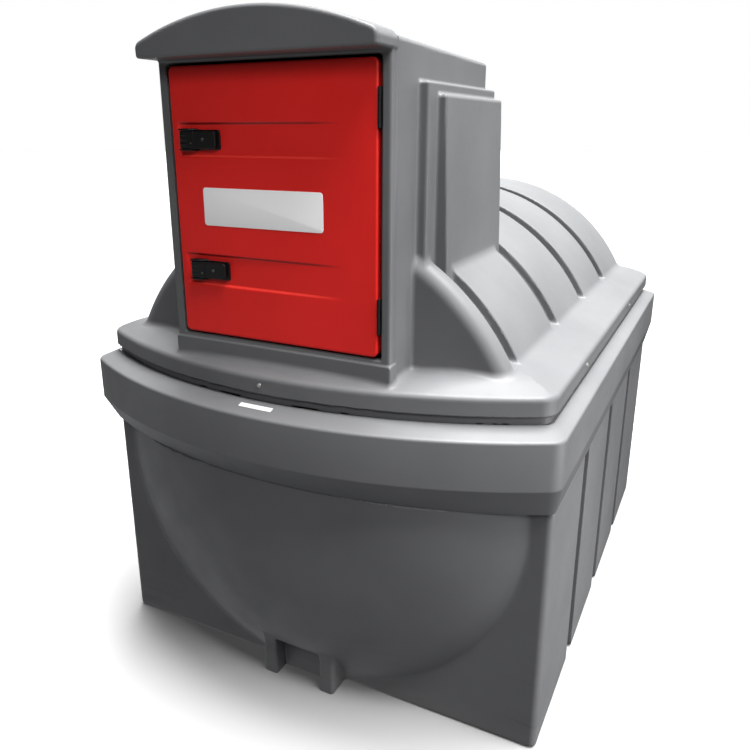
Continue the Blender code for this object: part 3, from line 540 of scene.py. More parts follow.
def crossing_quads(inside, index, axis):
    """A quad round each grid edge along an axis that the surface crosses, facing outwards."""
    ahead = [slice(None)] * 3
    behind = [slice(None)] * 3
    ahead[axis] = slice(1, None)
    behind[axis] = slice(None, -1)
    found = np.argwhere(inside[tuple(ahead)] != inside[tuple(behind)])
    u, v = (axis + 1) % 3, (axis + 2) % 3
    for side in (u, v):
        found = found[(found[:, side] > 0) & (found[:, side] < inside.shape[side] - 1)]
    ring = []
    for du, dv in ((-1, -1), (0, -1), (0, 0), (-1, 0)):
        cell = found.copy()
        cell[:, u] += du
        cell[:, v] += dv
        ring.append(index[tuple(cell.T)])
    quad = np.stack(ring, axis=1)
    outwards = inside[tuple(found.T)]
    quad[~outwards] = quad[~outwards][:, ::-1]
    return quad


def surface_net(field, xs, ys, zs):
    """Points and quads on a field's zero surface, one point to each grid cell that it crosses."""
    values = grid_values(field, xs, ys, zs)
    inside = values < 0
    count = np.zeros(tuple(n - 1 for n in inside.shape), np.int8)
    nx, ny, nz = count.shape
    for i, j, k in CORNERS:
        count += inside[i:i + nx, j:j + ny, k:k + nz]
    cells = np.argwhere((count > 0) & (count < 8))
    index = -np.ones(count.shape, np.int64)
    index[tuple(cells.T)] = np.arange(len(cells))
    points = cell_points(field, values, cells, xs, ys, zs)
    return points, np.concatenate([crossing_quads(inside, index, axis) for axis in range(3)])


def new_object(name, data):
    item = bpy.data.objects.new(name, data)
    bpy.context.scene.collection.objects.link(item)
    return item


def mesh_from(name, points, faces, normals=None):
    mesh = bpy.data.meshes.new(name)
    mesh.from_pydata(points.tolist(), [], faces.tolist() if hasattr(faces, "tolist") else faces)
    mesh.update()
    mesh.shade_smooth()
    if normals is not None:
        mesh.normals_split_custom_set_from_vertices(normals.tolist())
    return new_object(name, mesh)


def flat_cap(item, z, facing):
    """Makes one face of all the level faces at a height, where nothing shows."""
    shape = bmesh.new()
    shape.from_mesh(item.data)
    level = [
        face for face in shape.faces
        if face.normal.z * facing > 0.999 and abs(face.calc_center_median().z - z) < 1e-4
    ]
    bmesh.ops.dissolve_faces(shape, faces=level, use_verts=True)
    shape.to_mesh(item.data)
    shape.free()


def everywhere(centres):
    return np.ones(len(centres), bool)


def skin_parts(field, axes, parts):
    """Pieces cut from one zero surface; each part is a name and a test on face centres."""
    points, quads = surface_net(field, *axes)
    slope = slope_of(field, points)
    normals = slope / np.linalg.norm(slope, axis=1)[:, None]
    centres = points[quads].mean(axis=1)
    left = np.ones(len(quads), bool)
    made = []
    for name, test in parts:
        chosen = left & test(centres)
        left &= ~chosen
        used, faces = np.unique(quads[chosen], return_inverse=True)
        made.append(mesh_from(name, points[used], faces.reshape(-1, 4), normals[used]))
    return made


def skin(name, field, axes):
    item, = skin_parts(field, axes, [(name, everywhere)])
    return item


def smooth_by_angle(item, angle=40.0):
    shape = bmesh.new()
    shape.from_mesh(item.data)
    bmesh.ops.remove_doubles(shape, verts=shape.verts, dist=1e-6)
    bmesh.ops.recalc_face_normals(shape, faces=shape.faces)
    shape.to_mesh(item.data)
    shape.free()
    item.data.shade_smooth()
    item.data.set_sharp_from_angle(angle=math.radians(angle))


def lofted(name, loops, angle=35.0):
    """A closed body through loops of equal length, with a flat face at each end."""
    width = len(loops[0])
    faces = []
    for k in range(len(loops) - 1):
        for i in range(width):
            a = k * width
            j = (i + 1) % width
            faces.append((a + i, a + j, a + width + j, a + width + i))
    last = (len(loops) - 1) * width
    faces.append(tuple(range(width - 1, -1, -1)))
    faces.append(tuple(range(last, last + width)))
    item = mesh_from(name, np.array([p for loop in loops for p in loop], float), faces)
    smooth_by_angle(item, angle)
    return item


# Materials

def new_material(name):
    made = bpy.data.materials.new(name)
    made.use_nodes = True
    tree = made.node_tree
    return made, tree, tree.nodes["Principled BSDF"]


def set_inputs(node, values):
    for name, value in values.items():
        node.inputs[name].default_value = value


def calculated(tree, operation, first, second):
    """A math node's result; each input is a socket or a number."""
    node = tree.nodes.new("ShaderNodeMath")
    node.operation = operation
    for socket, value in zip(node.inputs, (first, second)):
        if isinstance(value, float):
            socket.default_value = value
        else:
            tree.links.new(value, socket)
    return node.outputs["Value"]


def product(tree, first, second):
    return calculated(tree, "MULTIPLY", first, second)


def object_place(tree):
    return tree.nodes.new("ShaderNodeTexCoord").outputs["Object"]


def axes_of(tree, place):
    node = tree.nodes.new("ShaderNodeSeparateXYZ")
    tree.links.new(place, node.inputs["Vector"])
    return node.outputs["X"], node.outputs["Y"], node.outputs["Z"]


def noise(tree, scale, detail=3.0, roughness=0.5, stretch=(1.0, 1.0, 1.0)):
    node = tree.nodes.new("ShaderNodeTexNoise")
    set_inputs(node, {"Scale": scale, "Detail": detail, "Roughness": roughness})
    spread = tree.nodes.new("ShaderNodeVectorMath")
    spread.operation = "MULTIPLY"
    spread.inputs[1].default_value = stretch
    tree.links.new(object_place(tree), spread.inputs[0])
    tree.links.new(spread.outputs["Vector"], node.inputs["Vector"])
    return node.outputs["Fac"]


def mapped(tree, value, span, target):
    """A value moved from one span of numbers to another."""
    node = tree.nodes.new("ShaderNodeMapRange")
    set_inputs(node, {"From Min": span[0], "From Max": span[1], "To Min": target[0], "To Max": target[1]})
    tree.links.new(value, node.inputs["Value"])
    return node.outputs["Result"]


def mixed(tree, factor, first, second):
    """A colour between two, each a socket or a plain colour."""
    node = tree.nodes.new("ShaderNodeMix")
    node.data_type = "RGBA"
    tree.links.new(factor, node.inputs["Factor"])
    for socket, colour in ((node.inputs["A"], first), (node.inputs["B"], second)):
        if isinstance(colour, tuple):
            socket.default_value = (*colour, 1.0)
        else:
            tree.links.new(colour, socket)
    return node.outputs["Result"]


def bump(tree, height, strength, distance, before=None):
    node = tree.nodes.new("ShaderNodeBump")
    set_inputs(node, {"Strength": strength, "Distance": distance})
    tree.links.new(height, node.inputs["Height"])
    if before is not None:
        tree.links.new(before, node.inputs["Normal"])
    return node.outputs["Normal"]


DUST = (0.150, 0.150, 0.148)
SCUFF = (0.052, 0.054, 0.057)
# Painted shade (dark red) and painted highlight (light red) for the edges of the door's channels
CHANNEL_PAINTED_SHADE = (0.150, 0.006, 0.005)
CHANNEL_PAINTED_HIGHLIGHT = (0.95, 0.075, 0.055)


def ground_marks(tree, colour):
    """Splashed dust and long scuffs that fade out above the ground."""
    _, _, height = axes_of(tree, object_place(tree))
    low = mapped(tree, height, (0.02, 0.42), (1.0, 0.0))
    splashes = noise(tree, 3.0, 6.0, 0.6, stretch=(1.0, 1.0, 3.0))
    dust = product(tree, mapped(tree, splashes, (0.48, 0.72), (0.0, 0.35)), low)
    scratches = noise(tree, 2.2, 3.0, 0.5, stretch=(1.0, 1.0, 14.0))
    scuffs = product(tree, mapped(tree, scratches, (0.62, 0.70), (0.0, 0.30)), low)
    return mixed(tree, scuffs, mixed(tree, dust, colour, DUST), SCUFF)


def channel_painted_light(tree, colour):
    """Painted shade along the upper edge of each channel of the door's front, and a painted highlight along
    its lower edge.
    """
    x, y, z = axes_of(tree, object_place(tree))
    right = mapped(tree, x, (CHANNEL_RIGHT - 0.09, CHANNEL_RIGHT - 0.01), (1.0, 0.0))
    left = mapped(tree, x, (CHANNEL_LEFT, CHANNEL_LEFT + 0.01), (0.0, 1.0))
    front = mapped(tree, y, (DOOR_FRONT + 0.010, DOOR_FRONT + 0.014), (1.0, 0.0))
    along = product(tree, product(tree, right, left), front)
    for _, _, height in LATCHES:
        # the upper edge of the channel gets painted shade, the lower edge a painted highlight
        for side, tint, share in ((1, CHANNEL_PAINTED_SHADE, 0.75), (-1, CHANNEL_PAINTED_HIGHLIGHT, 0.55)):
            off = calculated(tree, "SUBTRACT", z, height + side * CHANNEL_HALF_HEIGHT)
            close = mapped(tree, calculated(tree, "ABSOLUTE", off, 0.0), (0.0008, 0.0036), (share, 0.0))
            colour = mixed(tree, product(tree, close, along), colour, tint)
    return colour


def moulded_plastic(name, dark, light, roughness, specular, marks, pebble=0.35, waves=0.4):
    """Rotomoulded polyethylene: a faint cloudy colour, a pebbled skin and slow waves in its faces."""
    made, tree, shader = new_material(name)
    clouds = mapped(tree, noise(tree, 2.6, 4.0), (0.35, 0.65), (0.0, 1.0))
    colour = mixed(tree, clouds, dark, light)
    specks = mapped(tree, noise(tree, 420.0, 2.0), (0.62, 0.80), (0.0, 0.16))
    colour = mixed(tree, specks, colour, tuple(min(1.0, c * 1.8 + 0.02) for c in light))
    tree.links.new(marks(tree, colour), shader.inputs["Base Color"])
    rough = mapped(tree, noise(tree, 9.0, 5.0, 0.6), (0.3, 0.7), (roughness - 0.05, roughness + 0.06))
    tree.links.new(rough, shader.inputs["Roughness"])
    shader.inputs["Specular IOR Level"].default_value = specular
    slow = bump(tree, noise(tree, 5.0, 2.0), waves, 0.004)
    fine = bump(tree, noise(tree, 650.0, 2.0), pebble, 0.0004, slow)
    tree.links.new(fine, shader.inputs["Normal"])
    return made


def plain_surface(name, colour, roughness, metallic=0.0, grain=300.0, depth=0.0001, vary=0.08, specular=0.5):
    """A smaller part's surface: a colour that varies a little and a fine grain of a given depth."""
    made, tree, shader = new_material(name)
    factor = mapped(tree, noise(tree, grain * 0.1, 4.0), (0.3, 0.7), (0.0, 1.0))
    darker = tuple(c * (1.0 - vary) for c in colour)
    lighter = tuple(min(1.0, c * (1.0 + vary)) for c in colour)
    tree.links.new(mixed(tree, factor, darker, lighter), shader.inputs["Base Color"])
    rough = mapped(tree, noise(tree, grain * 0.2, 3.0), (0.3, 0.7), (roughness - 0.04, roughness + 0.05))
    tree.links.new(rough, shader.inputs["Roughness"])
    set_inputs(shader, {"Metallic": metallic, "Specular IOR Level": specular})
    tree.links.new(bump(tree, noise(tree, grain, 2.0), 0.4, depth), shader.inputs["Normal"])
    return made


def steel(name, colour, roughness):
    return plain_surface(name, colour, roughness, metallic=1.0, grain=500.0, depth=0.00005)


GREY = moulded_plastic(
    "grey_polyethylene", (0.0985, 0.1005, 0.1035), (0.1165, 0.1185, 0.1215), 0.49, 0.4, ground_marks
)
# The red's colour carries painted shade and painted highlights along the door's channels
RED = moulded_plastic(
    "red_polyethylene", (0.66, 0.0145, 0.0115), (0.74, 0.0180, 0.0145), 0.46, 0.25, channel_painted_light, 0.25, 0.5
)
BLACK = plain_surface("black_moulded_plastic", (0.006, 0.006, 0.0065), 0.46, specular=0.30)
STEEL = steel("zinc_plated_steel", (0.56, 0.56, 0.55), 0.36)
DARK_STEEL = steel("blackened_steel", (0.16, 0.16, 0.165), 0.42)
HINGE = plain_surface("black_coated_steel", (0.008, 0.008, 0.0085), 0.60, specular=0.12)
WHITE = plain_surface("white_plate_print", (0.90, 0.90, 0.90), 0.55, grain=60.0, depth=0.00001, vary=0.008)
LABEL = plain_surface("white_label_film", (0.56, 0.56, 0.55), 0.40, grain=90.0, depth=0.00002, vary=0.02)


def dress(item, material, body, slot, *nodes):
    item.data.materials.clear()
    item.data.materials.append(material)
    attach(item, body)
    if nodes:
        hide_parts(*nodes)


def dress_frame():
    """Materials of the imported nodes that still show."""
    looks = {"tank_plastic": GREY, "door_plastic": RED, "latch_plastic": BLACK, "hinge_steel": HINGE}
    slots = {part["node"]: part["material_slot"] for part in frame["record"]["subparts"]}
    for name, node in frame["nodes"].items():
        node.data.materials.clear()
        node.data.materials.append(looks[slots[name]])


# Tub and collar

def make_tub():
    groove_edges = [
        k * SIDE_GROOVE_PITCH + side * SIDE_GROOVE_HALF_WIDTH for k in (-1, 0, 1) for side in SIDES
    ]
    fine_x = near(mirrored(TUB_HALF_WIDTH), 0.006, 0.0025)
    fine_x += near(mirrored(TUB_HALF_WIDTH - SIDE_GROOVE_DEPTH), 0.004, 0.004)
    fine_x += near(mirrored(FOOT_HALF_WIDTH, POCKET_HALF_WIDTH), 0.004, 0.004)
    fine_y = near(mirrored(TUB_HALF_LENGTH), 0.010, 0.005) + near(groove_edges, 0.008, 0.003)
    fine_y += near(mirrored(FOOT_FRONT), 0.004, 0.004) + near(mirrored(POCKET_BACK), 0.004, 0.005)
    fine_z = [(0.0, 0.012, 0.004), (FOOT_HEIGHT, 0.006, 0.005), (0.69, 0.03, 0.007)]
    axes = (
        axis_places(-0.72, 0.72, 0.013, fine_x),
        axis_places(-1.02, 1.02, 0.014, fine_y),
        axis_places(-0.02, 0.74, 0.013, fine_z),
    )
    item = skin("tub", tub_field, axes)
    flat_cap(item, 0.0, -1)
    flat_cap(item, TUB_TOP, 1)
    dress(
        item, GREY, "tank", "tank_plastic",
        "bund_front_wall", "bund_rear_wall", "bund_front_swelling", "bund_rear_swelling",
        "bund_left_side", "bund_right_side", "front_foot", "rear_foot", "bund_floor",
    )


def outline_points(outline, z, ends=20, corners=7, sides=14):
    """Closed plan loop of an outline at a height, anticlockwise from the middle of its front."""
    half, corner, bow, fillet = outline
    radius = arc_radius(half, bow)
    centre_y = radius - corner - bow
    fillet_x = half - fillet
    fillet_y = centre_y - math.sqrt((radius - fillet) ** 2 - fillet_x ** 2)
    reach = math.atan2(fillet_x, centre_y - fillet_y)
    turn = math.pi / 2 - reach
    quarter = []
    for k in range(ends + 1):
        angle = reach * k / ends
        quarter.append((radius * math.sin(angle), centre_y - radius * math.cos(angle)))
    for k in range(1, corners + 1):
        angle = -turn * (1 - k / corners)
        quarter.append((fillet_x + fillet * math.cos(angle), fillet_y + fillet * math.sin(angle)))
    start = quarter[-1][1]
    for k in range(1, sides + 1):
        quarter.append((half, start * (1 - k / sides)))
    right = quarter + [(x, -y) for x, y in reversed(quarter[:-1])]
    loop = right + [(-x, y) for x, y in reversed(right[1:-1])]
    return [(x, y, z) for x, y in loop]


def filleted(points, radii, steps):
    """A closed section with its corners rounded; each round corner becomes steps + 1 points."""
    count = len(points)
    out = []
    for k in range(count):
        here = Vector(points[k])
        back = Vector(points[k - 1]) - here
        ahead = Vector(points[(k + 1) % count]) - here
        if radii[k] == 0.0:
            out.append(tuple(here))
            continue
        half_angle = back.angle(ahead) / 2
        cut = min(radii[k] / math.tan(half_angle), back.length * 0.45, ahead.length * 0.45)
        start = here + back.normalized() * cut
        end = here + ahead.normalized() * cut
        for step in range(steps + 1):
            t = step / steps
            a = start.lerp(here, t)
            b = here.lerp(end, t)
            out.append(tuple(a.lerp(b, t)))
    return out


def make_collar():
    """A hollow section swept round the tank: an outline, a height and a corner radius for each row."""
    half, corner, bow, fillet = COLLAR_LOW
    inner_low = (half - COLLAR_WALL, corner - COLLAR_WALL, bow, fillet - 0.010)
    rows = [
        (COLLAR_LOW, COLLAR_LOW_Z, 0.004),
        (COLLAR_FACE, COLLAR_BEND_Z, 0.010),
        (COLLAR_FACE, COLLAR_FACE_Z, 0.009),
        (COLLAR_CREST, COLLAR_CREST_Z, 0.002),
        (COLLAR_SEAT, COLLAR_TOP_Z, 0.0),
        (COLLAR_INNER, COLLAR_TOP_Z, 0.0),
        (COLLAR_INNER, COLLAR_FACE_Z, 0.0),
        (inner_low, COLLAR_LOW_Z, 0.0),
    ]
    loops = [outline_points(outline, z) for outline, z, _ in rows]
    radii = [radius for _, _, radius in rows]
    sections = [filleted(section, radii, 5) for section in zip(*loops)]
    width = len(sections[0])
    points = np.array([p for section in sections for p in section])
    faces = []
    for k in range(len(sections)):
        following = (k + 1) % len(sections)
        for i in range(width):
            j = (i + 1) % width
            faces.append((k * width + i, following * width + i, following * width + j, k * width + j))
    item = mesh_from("collar", points, faces)
    smooth_by_angle(item)
    dress(item, GREY, "tank", "tank_plastic", "collar_front", "collar_rear", "collar_left", "collar_right")


# Lid, dome and cabinet

def in_cabinet(centres):
    """Which faces of the moulding are the cabinet's and the hood's."""
    x = np.abs(centres[:, 0])
    y = centres[:, 1]
    z = centres[:, 2]
    close = (z > 1.034) & (x < 0.41) & (y < -0.33) & (y > -1.05)
    above_dome = np.sqrt(x ** 2 + (z - DOME_CENTRE_Z) ** 2) > 0.655
    return close & ((y < -0.845) | above_dome | (x < 0.3175))


def in_front_half(centres):
    return centres[:, 1] < -0.02


def make_moulding():
    groove_edges = [place + side * half for place, half in GROOVES for side in SIDES]
    fine_x = near(mirrored(0.312, 0.345, 0.372), 0.006, 0.0045) + near(mirrored(0.680), 0.012, 0.0045)
    fine_y = near(groove_edges, 0.009, 0.0032) + [
        (HOOD_FRONT, 0.010, 0.0045), (-0.955, 0.022, 0.005), (-0.825, 0.008, 0.005), (-0.775, 0.006, 0.005),
        (CAB_REAR, 0.006, 0.005), (DOME_REAR, 0.01, 0.008), (1.01, 0.012, 0.005),
    ]
    fine_z = [
        (0.975, 0.040, 0.005), (1.035, 0.020, 0.006), (SILL_TOP_Z, 0.004, 0.005), (1.690, 0.014, 0.005),
        (1.765, 0.014, 0.005), (1.815, 0.042, 0.005),
    ]
    axes = (
        axis_places(-0.70, 0.70, 0.011, fine_x),
        axis_places(-1.06, 1.04, 0.012, fine_y),
        axis_places(0.92, 1.87, 0.011, fine_z),
    )
    nodes = {
        "cabinet_and_hood": (
            "cabinet_left_wall", "cabinet_right_wall", "cabinet_rear_wall", "cabinet_floor", "cabinet_roof",
            "hood", "left_jamb", "right_jamb", "door_sill", "left_side_pad", "right_side_pad",
        ),
        "lid_front_half": (
            "lid_front", "lid_left", "lid_right", "dome_front_end_left", "dome_front_end_right",
            "dome_band_1_left", "dome_band_1_right", "dome_band_2_left", "dome_band_2_right", "dome_band_3",
        ),
        "lid_rear_half": ("lid_rear", "dome_rear_end", "dome_band_4", "dome_band_5"),
    }
    tests = (in_cabinet, in_front_half, everywhere)
    for item in skin_parts(moulding_field, axes, list(zip(nodes, tests))):
        flat_cap(item, LID_SOLE_Z, -1)
        dress(item, GREY, "tank", "tank_plastic", *nodes[item.name])


# Door, plate and label

def make_door():
    channel_edges = [height + side * CHANNEL_HALF_HEIGHT for _, _, height in LATCHES for side in SIDES]
    fine_x = near(mirrored(DOOR_HALF_WIDTH), 0.006, 0.0025) + [(CHANNEL_LEFT, 0.008, 0.003)]
    fine_z = near((DOOR_LOW_Z, DOOR_HIGH_Z), 0.008, 0.0025) + near(channel_edges, 0.006, 0.0025)
    axes = (
        axis_places(-0.30, 0.30, 0.012, fine_x),
        axis_places(DOOR_FRONT - 0.012, DOOR_BACK + 0.010, 0.004),
        axis_places(DOOR_LOW_Z - 0.02, DOOR_HIGH_Z + 0.02, 0.010, fine_z),
    )
    item = skin("cabinet_door_panel", door_field, axes)
    dress(item, RED, "cabinet_door", "door_plastic", "door")


def rounded_rectangle(half_u, half_v, radius, steps=6):
    loop = []
    for quarter, (side_u, side_v) in enumerate(((1, 1), (-1, 1), (-1, -1), (1, -1))):
        for k in range(steps + 1):
            angle = math.pi / 2 * (quarter + k / steps)
            u = side_u * (half_u - radius) + radius * math.cos(angle)
            v = side_v * (half_v - radius) + radius * math.sin(angle)
            loop.append((u, v))
    return loop


def make_door_plate():
    """A bare white plate with round corners and a soft edge."""
    middle_x = (PLATE_LEFT + PLATE_RIGHT) / 2
    middle_z = (PLATE_LOW_Z + PLATE_HIGH_Z) / 2
    loops = []
    for inset, rise in PLATE_STEPS:
        half_u = (PLATE_RIGHT - PLATE_LEFT) / 2 - inset
        half_v = (PLATE_HIGH_Z - PLATE_LOW_Z) / 2 - inset
        outline = rounded_rectangle(half_u, half_v, PLATE_CORNER - inset)
        loops.append([(middle_x + u, DOOR_FRONT - rise, middle_z + v) for u, v in outline])
    item = lofted("door_plate", loops)
    item.data.materials.append(WHITE)
    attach(item, "cabinet_door")


def bow_place(outline, x):
    """How far a bowed end reaches at x."""
    half, corner, bow, _ = outline
    radius = arc_radius(half, bow)
    return math.sqrt(radius * radius - x * x) - (radius - corner - bow)


def ledge_place(x, share, lift):
    """A point over the collar's front ledge, at a share of the way from its crest to its face."""
    y = -(1 - share) * bow_place(COLLAR_CREST, x) - share * bow_place(COLLAR_FACE, x)
    z = COLLAR_CREST_Z + share * (COLLAR_FACE_Z - COLLAR_CREST_Z)
    return (x, y + LEDGE_NORMAL[0] * lift, z + LEDGE_NORMAL[1] * lift)


def make_collar_label():
    """A bare white label stuck on the ledge, which it follows."""
    first, last = LABEL_SHARES
    low, high = LABEL_LIFTS
    rows, columns = 4, 14
    shares = [first + (last - first) * k / rows for k in range(rows + 1)]
    loops = []
    for k in range(columns + 1):
        x = LABEL_LEFT + (LABEL_RIGHT - LABEL_LEFT) * k / columns
        top = [ledge_place(x, share, high) for share in shares]
        under = [ledge_place(x, share, low) for share in reversed(shares)]
        loops.append(top + under)
    item = lofted("collar_label", loops)
    item.data.materials.append(LABEL)
    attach(item, "tank")


# Screws

def screw(name, place, outward, steps=36):
    """A hexagon screw on a round washer, standing out from a face."""
    out = Vector(outward).normalized()
    level = Vector((0.0, 0.0, 1.0)).cross(out).normalized()
    up = out.cross(level)
    loops = []
    for circle, across, height in SCREW_RINGS:
        loop = []
        for k in range(steps):
            angle = 2 * math.pi * k / steps
            facet = (angle % (math.pi / 3)) - math.pi / 6
            size = circle if circle else across / math.cos(facet)
            spot = Vector(place) + level * size * math.cos(angle) + up * size * math.sin(angle)
            loop.append(tuple(spot + out * height))
        loops.append(loop)
    item = lofted(name, loops, 25.0)
    dress(item, STEEL, "tank", "hinge_steel")


def make_screws():
    reach_x = LID_OUTLINE[0] - SCREW_SINK
    for side, label in ((-1, "left"), (1, "right")):
        for k, y in enumerate(SIDE_SCREWS):
            screw(f"{label}_lid_screw_{k + 1}", (side * reach_x, y, SCREW_Z), (side, 0.0, 0.0))
    reach_y = bow_place(LID_OUTLINE, END_SCREW_X) - SCREW_SINK
    for end, label in ((1, "front"), (-1, "rear")):
        x = end * END_SCREW_X
        screw(f"{label}_lid_screw", (x, -end * reach_y, SCREW_Z), (x * 0.7, -end * 1.0, 0.0))


# Latches

def latch_base_field(u, w, v):
    """A plate with a housing at its left end, open in front for the lever."""
    half = LATCH_HALF_HEIGHT - LATCH_NARROW * soft_step(u, *LATCH_NECK)
    outline = round_meet(slab(u, 0.0, LATCH_LENGTH), np.abs(v) - half, LATCH_CORNER)
    plate = round_meet(outline, w - LATCH_PLATE, PLATE_EDGE)
    top = HOUSING_TOP - (HOUSING_TOP - LATCH_PLATE) * soft_step(u, *HOUSING_SLOPE)
    cheek = round_meet(outline, w - top, HOUSING_EDGE)
    slot = round_meet(np.abs(v) - LATCH_HALF_HEIGHT + CHEEK_WALL, LATCH_PLATE - 0.001 - w, CHEEK_ROUND)
    cheek = np.maximum(round_cut(cheek, slot, 0.0007), u - HOUSING_END)
    return np.maximum(round_join(plate, cheek, 0.0012), -w)


def lever_field(u, w, v):
    """The lever, with a knuckle at its pinned end, three ribs to grip and a lower front beyond them."""
    along = u - LATCH_PIVOT[0]
    out = w - LATCH_PIVOT[1]
    lowered = LEVER_STEP * soft_step(along, *LEVER_STEP_SPAN)
    front = np.where(out > 0, out + lowered, -out)
    body = np.where(along < 0, np.sqrt(along * along + out * out), front) - LEVER_HALF_THICKNESS
    outline = round_meet(along - LEVER_LENGTH, np.abs(v) - LEVER_HALF_HEIGHT, LEVER_CORNER)
    lever = round_meet(outline, body, LEVER_EDGE)
    for height in RIB_HEIGHTS:
        past = np.maximum(np.maximum(along - RIB_SPAN[1], RIB_SPAN[0] - along), 0.0)
        deep = out - LEVER_HALF_THICKNESS + RIB_SUNK
        rib = np.sqrt(past * past + deep ** 2 + (v - height) ** 2) - RIB_RADIUS
        lever = round_join(lever, rib, 0.0008)
    pin = np.sqrt(along * along + out * out) - PIN_RADIUS
    return np.minimum(lever, np.maximum(pin, np.abs(v) - LATCH_HALF_HEIGHT + 0.0015))


def disc_field(place, radius, top, slot):
    """A round head on the lever's front; a lock has a key slot in it."""
    half_width, half_length, depth = KEY_SLOT

    def field(u, w, v):
        along = u - LATCH_PIVOT[0] - place[0]
        across = v - place[1]
        head = round_meet(np.sqrt(along * along + across * across) - radius, w - top, HEAD_EDGE)
        head = np.maximum(head, LATCH_PIVOT[1] - w)
        if slot:
            width = slab(along, -half_width, half_width)
            key = round_meet(width, slab(across, -half_length, half_length), 0.0002)
            head = round_cut(head, np.maximum(key, top - depth - w), 0.0002)
        return head
    return field


def latch_piece(name, field, latch, box, step, material, body, slot, *nodes):
    """One latch piece, made from a field and a box in the latch's own coordinates."""
    _, left, height = latch
    low, high = box

    def placed(x, y, z):
        return field(x - left, LATCH_BACK - y, z - height)
    axes = (
        axis_places(left + low[0], left + high[0], step),
        axis_places(LATCH_BACK - high[1], LATCH_BACK - low[1], step),
        axis_places(height + low[2], height + high[2], step),
    )
    dress(skin(name, placed, axes), material, body, slot, *nodes)


def make_latches():
    base_box = ((-0.003, -0.002, -0.030), (0.120, 0.022, 0.030))
    lever_box = ((0.001, 0.006, -0.028), (0.114, 0.023, 0.028))
    lever_front = LATCH_PIVOT[1] + LEVER_HALF_THICKNESS
    heads = (
        ("lock", LOCK_PLACE, LOCK_RADIUS, lever_front - LEVER_STEP + LOCK_PROUD, True),
        ("rivet", RIVET_PLACE, RIVET_RADIUS, lever_front + RIVET_PROUD, False),
    )
    for latch in LATCHES:
        label = latch[0]
        latch_piece(
            f"{label}_latch_housing", latch_base_field, latch, base_box, 0.0017,
            BLACK, "cabinet_door", "latch_plastic", f"{label}_latch_base",
        )
        latch_piece(
            f"{label}_latch_paddle", lever_field, latch, lever_box, 0.0015,
            BLACK, f"{label}_lever", "latch_plastic", f"{label}_latch_lever",
        )
        for part, place, radius, top, slot in heads:
            middle = LATCH_PIVOT[0] + place[0]
            reach = radius + 0.001
            low = (middle - reach, top - 0.003, place[1] - reach)
            high = (middle + reach, top + 0.001, place[1] + reach)
            latch_piece(
                f"{label}_latch_{part}", disc_field(place, radius, top, slot), latch, (low, high), 0.0003,
                DARK_STEEL, f"{label}_lever", "hinge_steel",
            )


# Stage

def lights_pass(item):
    """Light goes through an item of the stage, which only the camera sees."""
    item.visible_diffuse = False
    item.visible_glossy = False
    item.visible_transmission = False
    item.visible_shadow = False


def make_floor():
    size = STAGE_REACH
    points = np.array([(-size, -size, 0.0), (size, -size, 0.0), (size, size, 0.0), (-size, size, 0.0)])
    floor = mesh_from("studio_floor", points, [(0, 1, 2, 3)])
    surface, _, shader = new_material("studio_floor")
    set_inputs(shader, {"Base Color": (FLOOR_SHADE, FLOOR_SHADE, FLOOR_SHADE, 1.0), "Roughness": 0.7})
    floor.data.materials.append(surface)
    lights_pass(floor)


def dome_mesh(name, reach, turns=48, rises=12):
    """Half a ball over the ground."""
    points = []
    for rise in range(rises):
        lift = math.pi / 2 * rise / rises
        for turn in range(turns):
            angle = 2 * math.pi * turn / turns
            level = reach * math.cos(lift)
            points.append((level * math.cos(angle), level * math.sin(angle), reach * math.sin(lift)))
    points.append((0.0, 0.0, reach))
    faces = []
    for turn in range(turns):
        following = (turn + 1) % turns
        for rise in range(rises - 1):
            a = rise * turns
            faces.append((a + turn, a + turns + turn, a + turns + following, a + following))
        last = (rises - 1) * turns
        faces.append((last + turn, len(points) - 1, last + following))
    return mesh_from(name, np.array(points), faces)


def make_backdrop():
    """A pale half-round cover over the stage, which gives every view the same plain background."""
    backdrop = dome_mesh("studio_backdrop", BACKDROP_REACH)
    surface, _, shader = new_material("studio_backdrop")
    set_inputs(shader, {
        "Base Color": (0.0, 0.0, 0.0, 1.0), "Specular IOR Level": 0.0,
        "Emission Color": (1.0, 1.0, 1.0, 1.0), "Emission Strength": 1.0,
    })
    surface.cycles.emission_sampling = "NONE"
    backdrop.data.materials.append(surface)
    lights_pass(backdrop)


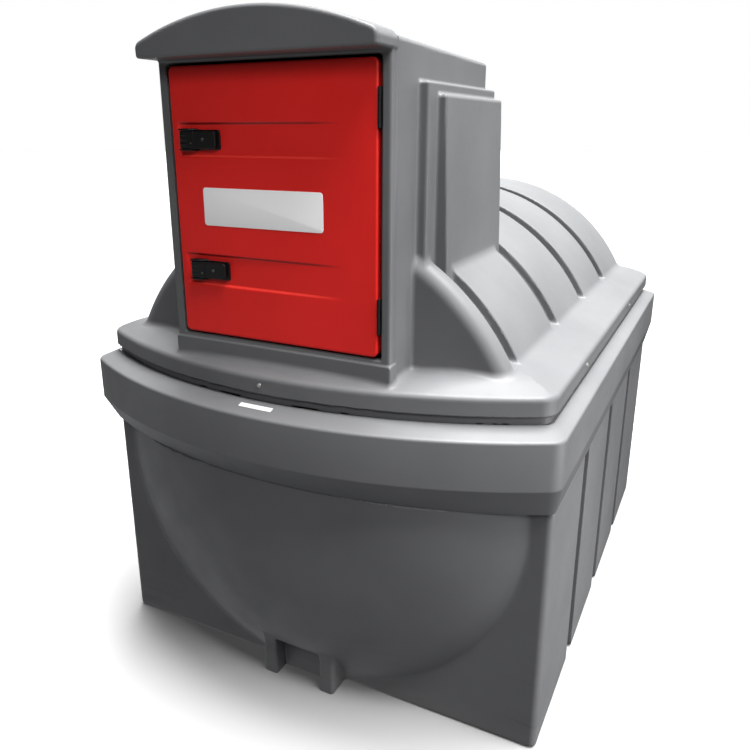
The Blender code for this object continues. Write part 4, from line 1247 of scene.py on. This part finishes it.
def facing(tree, direction, glow, share):
    """Strength that falls off from an axis as a power of the cosine, in one half of the sky."""
    axis, power, strength = glow
    dot = tree.nodes.new("ShaderNodeVectorMath")
    dot.operation = "DOT_PRODUCT"
    dot.inputs[1].default_value = Vector(axis).normalized()
    tree.links.new(direction, dot.inputs[0])
    front = calculated(tree, "MAXIMUM", dot.outputs["Value"], 0.0)
    lobe = product(tree, calculated(tree, "POWER", front, power), strength)
    return product(tree, lobe, share)


def make_world():
    """A soft studio: a bright wall behind the tank, and from below the light that a floor throws back."""
    world = bpy.data.worlds.new("studio")
    world.use_nodes = True
    tree = world.node_tree
    back = tree.nodes["Background"]
    direction = tree.nodes.new("ShaderNodeTexCoord").outputs["Generated"]
    _, _, up = axes_of(tree, direction)
    above = mapped(tree, up, HORIZON, (0.0, 1.0))
    below = mapped(tree, up, HORIZON, (1.0, 0.0))
    wall = facing(tree, direction, WALL_GLOW, above)
    under = facing(tree, direction, UNDER_GLOW, below)
    left = facing(tree, direction, LEFT_GLOW, below)
    total = calculated(tree, "ADD", calculated(tree, "ADD", wall, under), left)
    tree.links.new(total, back.inputs["Strength"])
    back.inputs["Color"].default_value = (*WORLD_COLOUR, 1.0)
    bpy.context.scene.world = world


def place_light(light, place, towards):
    """Puts a light at a place and turns it to shine along a direction."""
    item = new_object(light.name, light)
    item.location = place
    item.rotation_euler = towards.to_track_quat("-Z", "Y").to_euler()


def make_light():
    for name, source, power, width in SUNS:
        sun = bpy.data.lights.new(name, "SUN")
        sun.energy = power
        sun.angle = math.radians(width)
        place_light(sun, (0.0, 0.0, 0.0), -Vector(source))
    for name, place, target, size, power, spread in SOFTBOXES:
        box = bpy.data.lights.new(name, "AREA")
        box.shape = "RECTANGLE"
        box.size = size
        box.size_y = size
        box.energy = power
        box.spread = math.radians(spread)
        place_light(box, place, Vector(target) - Vector(place))


def make_camera():
    camera = bpy.data.cameras.new("photo_camera")
    camera.lens = LENS
    camera.sensor_width = SENSOR
    camera.shift_x, camera.shift_y = SHIFT
    item = new_object("photo_camera", camera)
    item.location = CAMERA_PLACE
    item.rotation_euler = (math.radians(CAMERA_PITCH), 0.0, math.radians(CAMERA_YAW))
    bpy.context.scene.camera = item


make_camera()
dress_frame()
make_tub()
make_collar()
make_moulding()
make_door()
make_door_plate()
make_latches()
make_collar_label()
make_screws()
make_floor()
make_backdrop()
make_world()
make_light()
bpy.context.scene.view_settings.view_transform = "Standard"
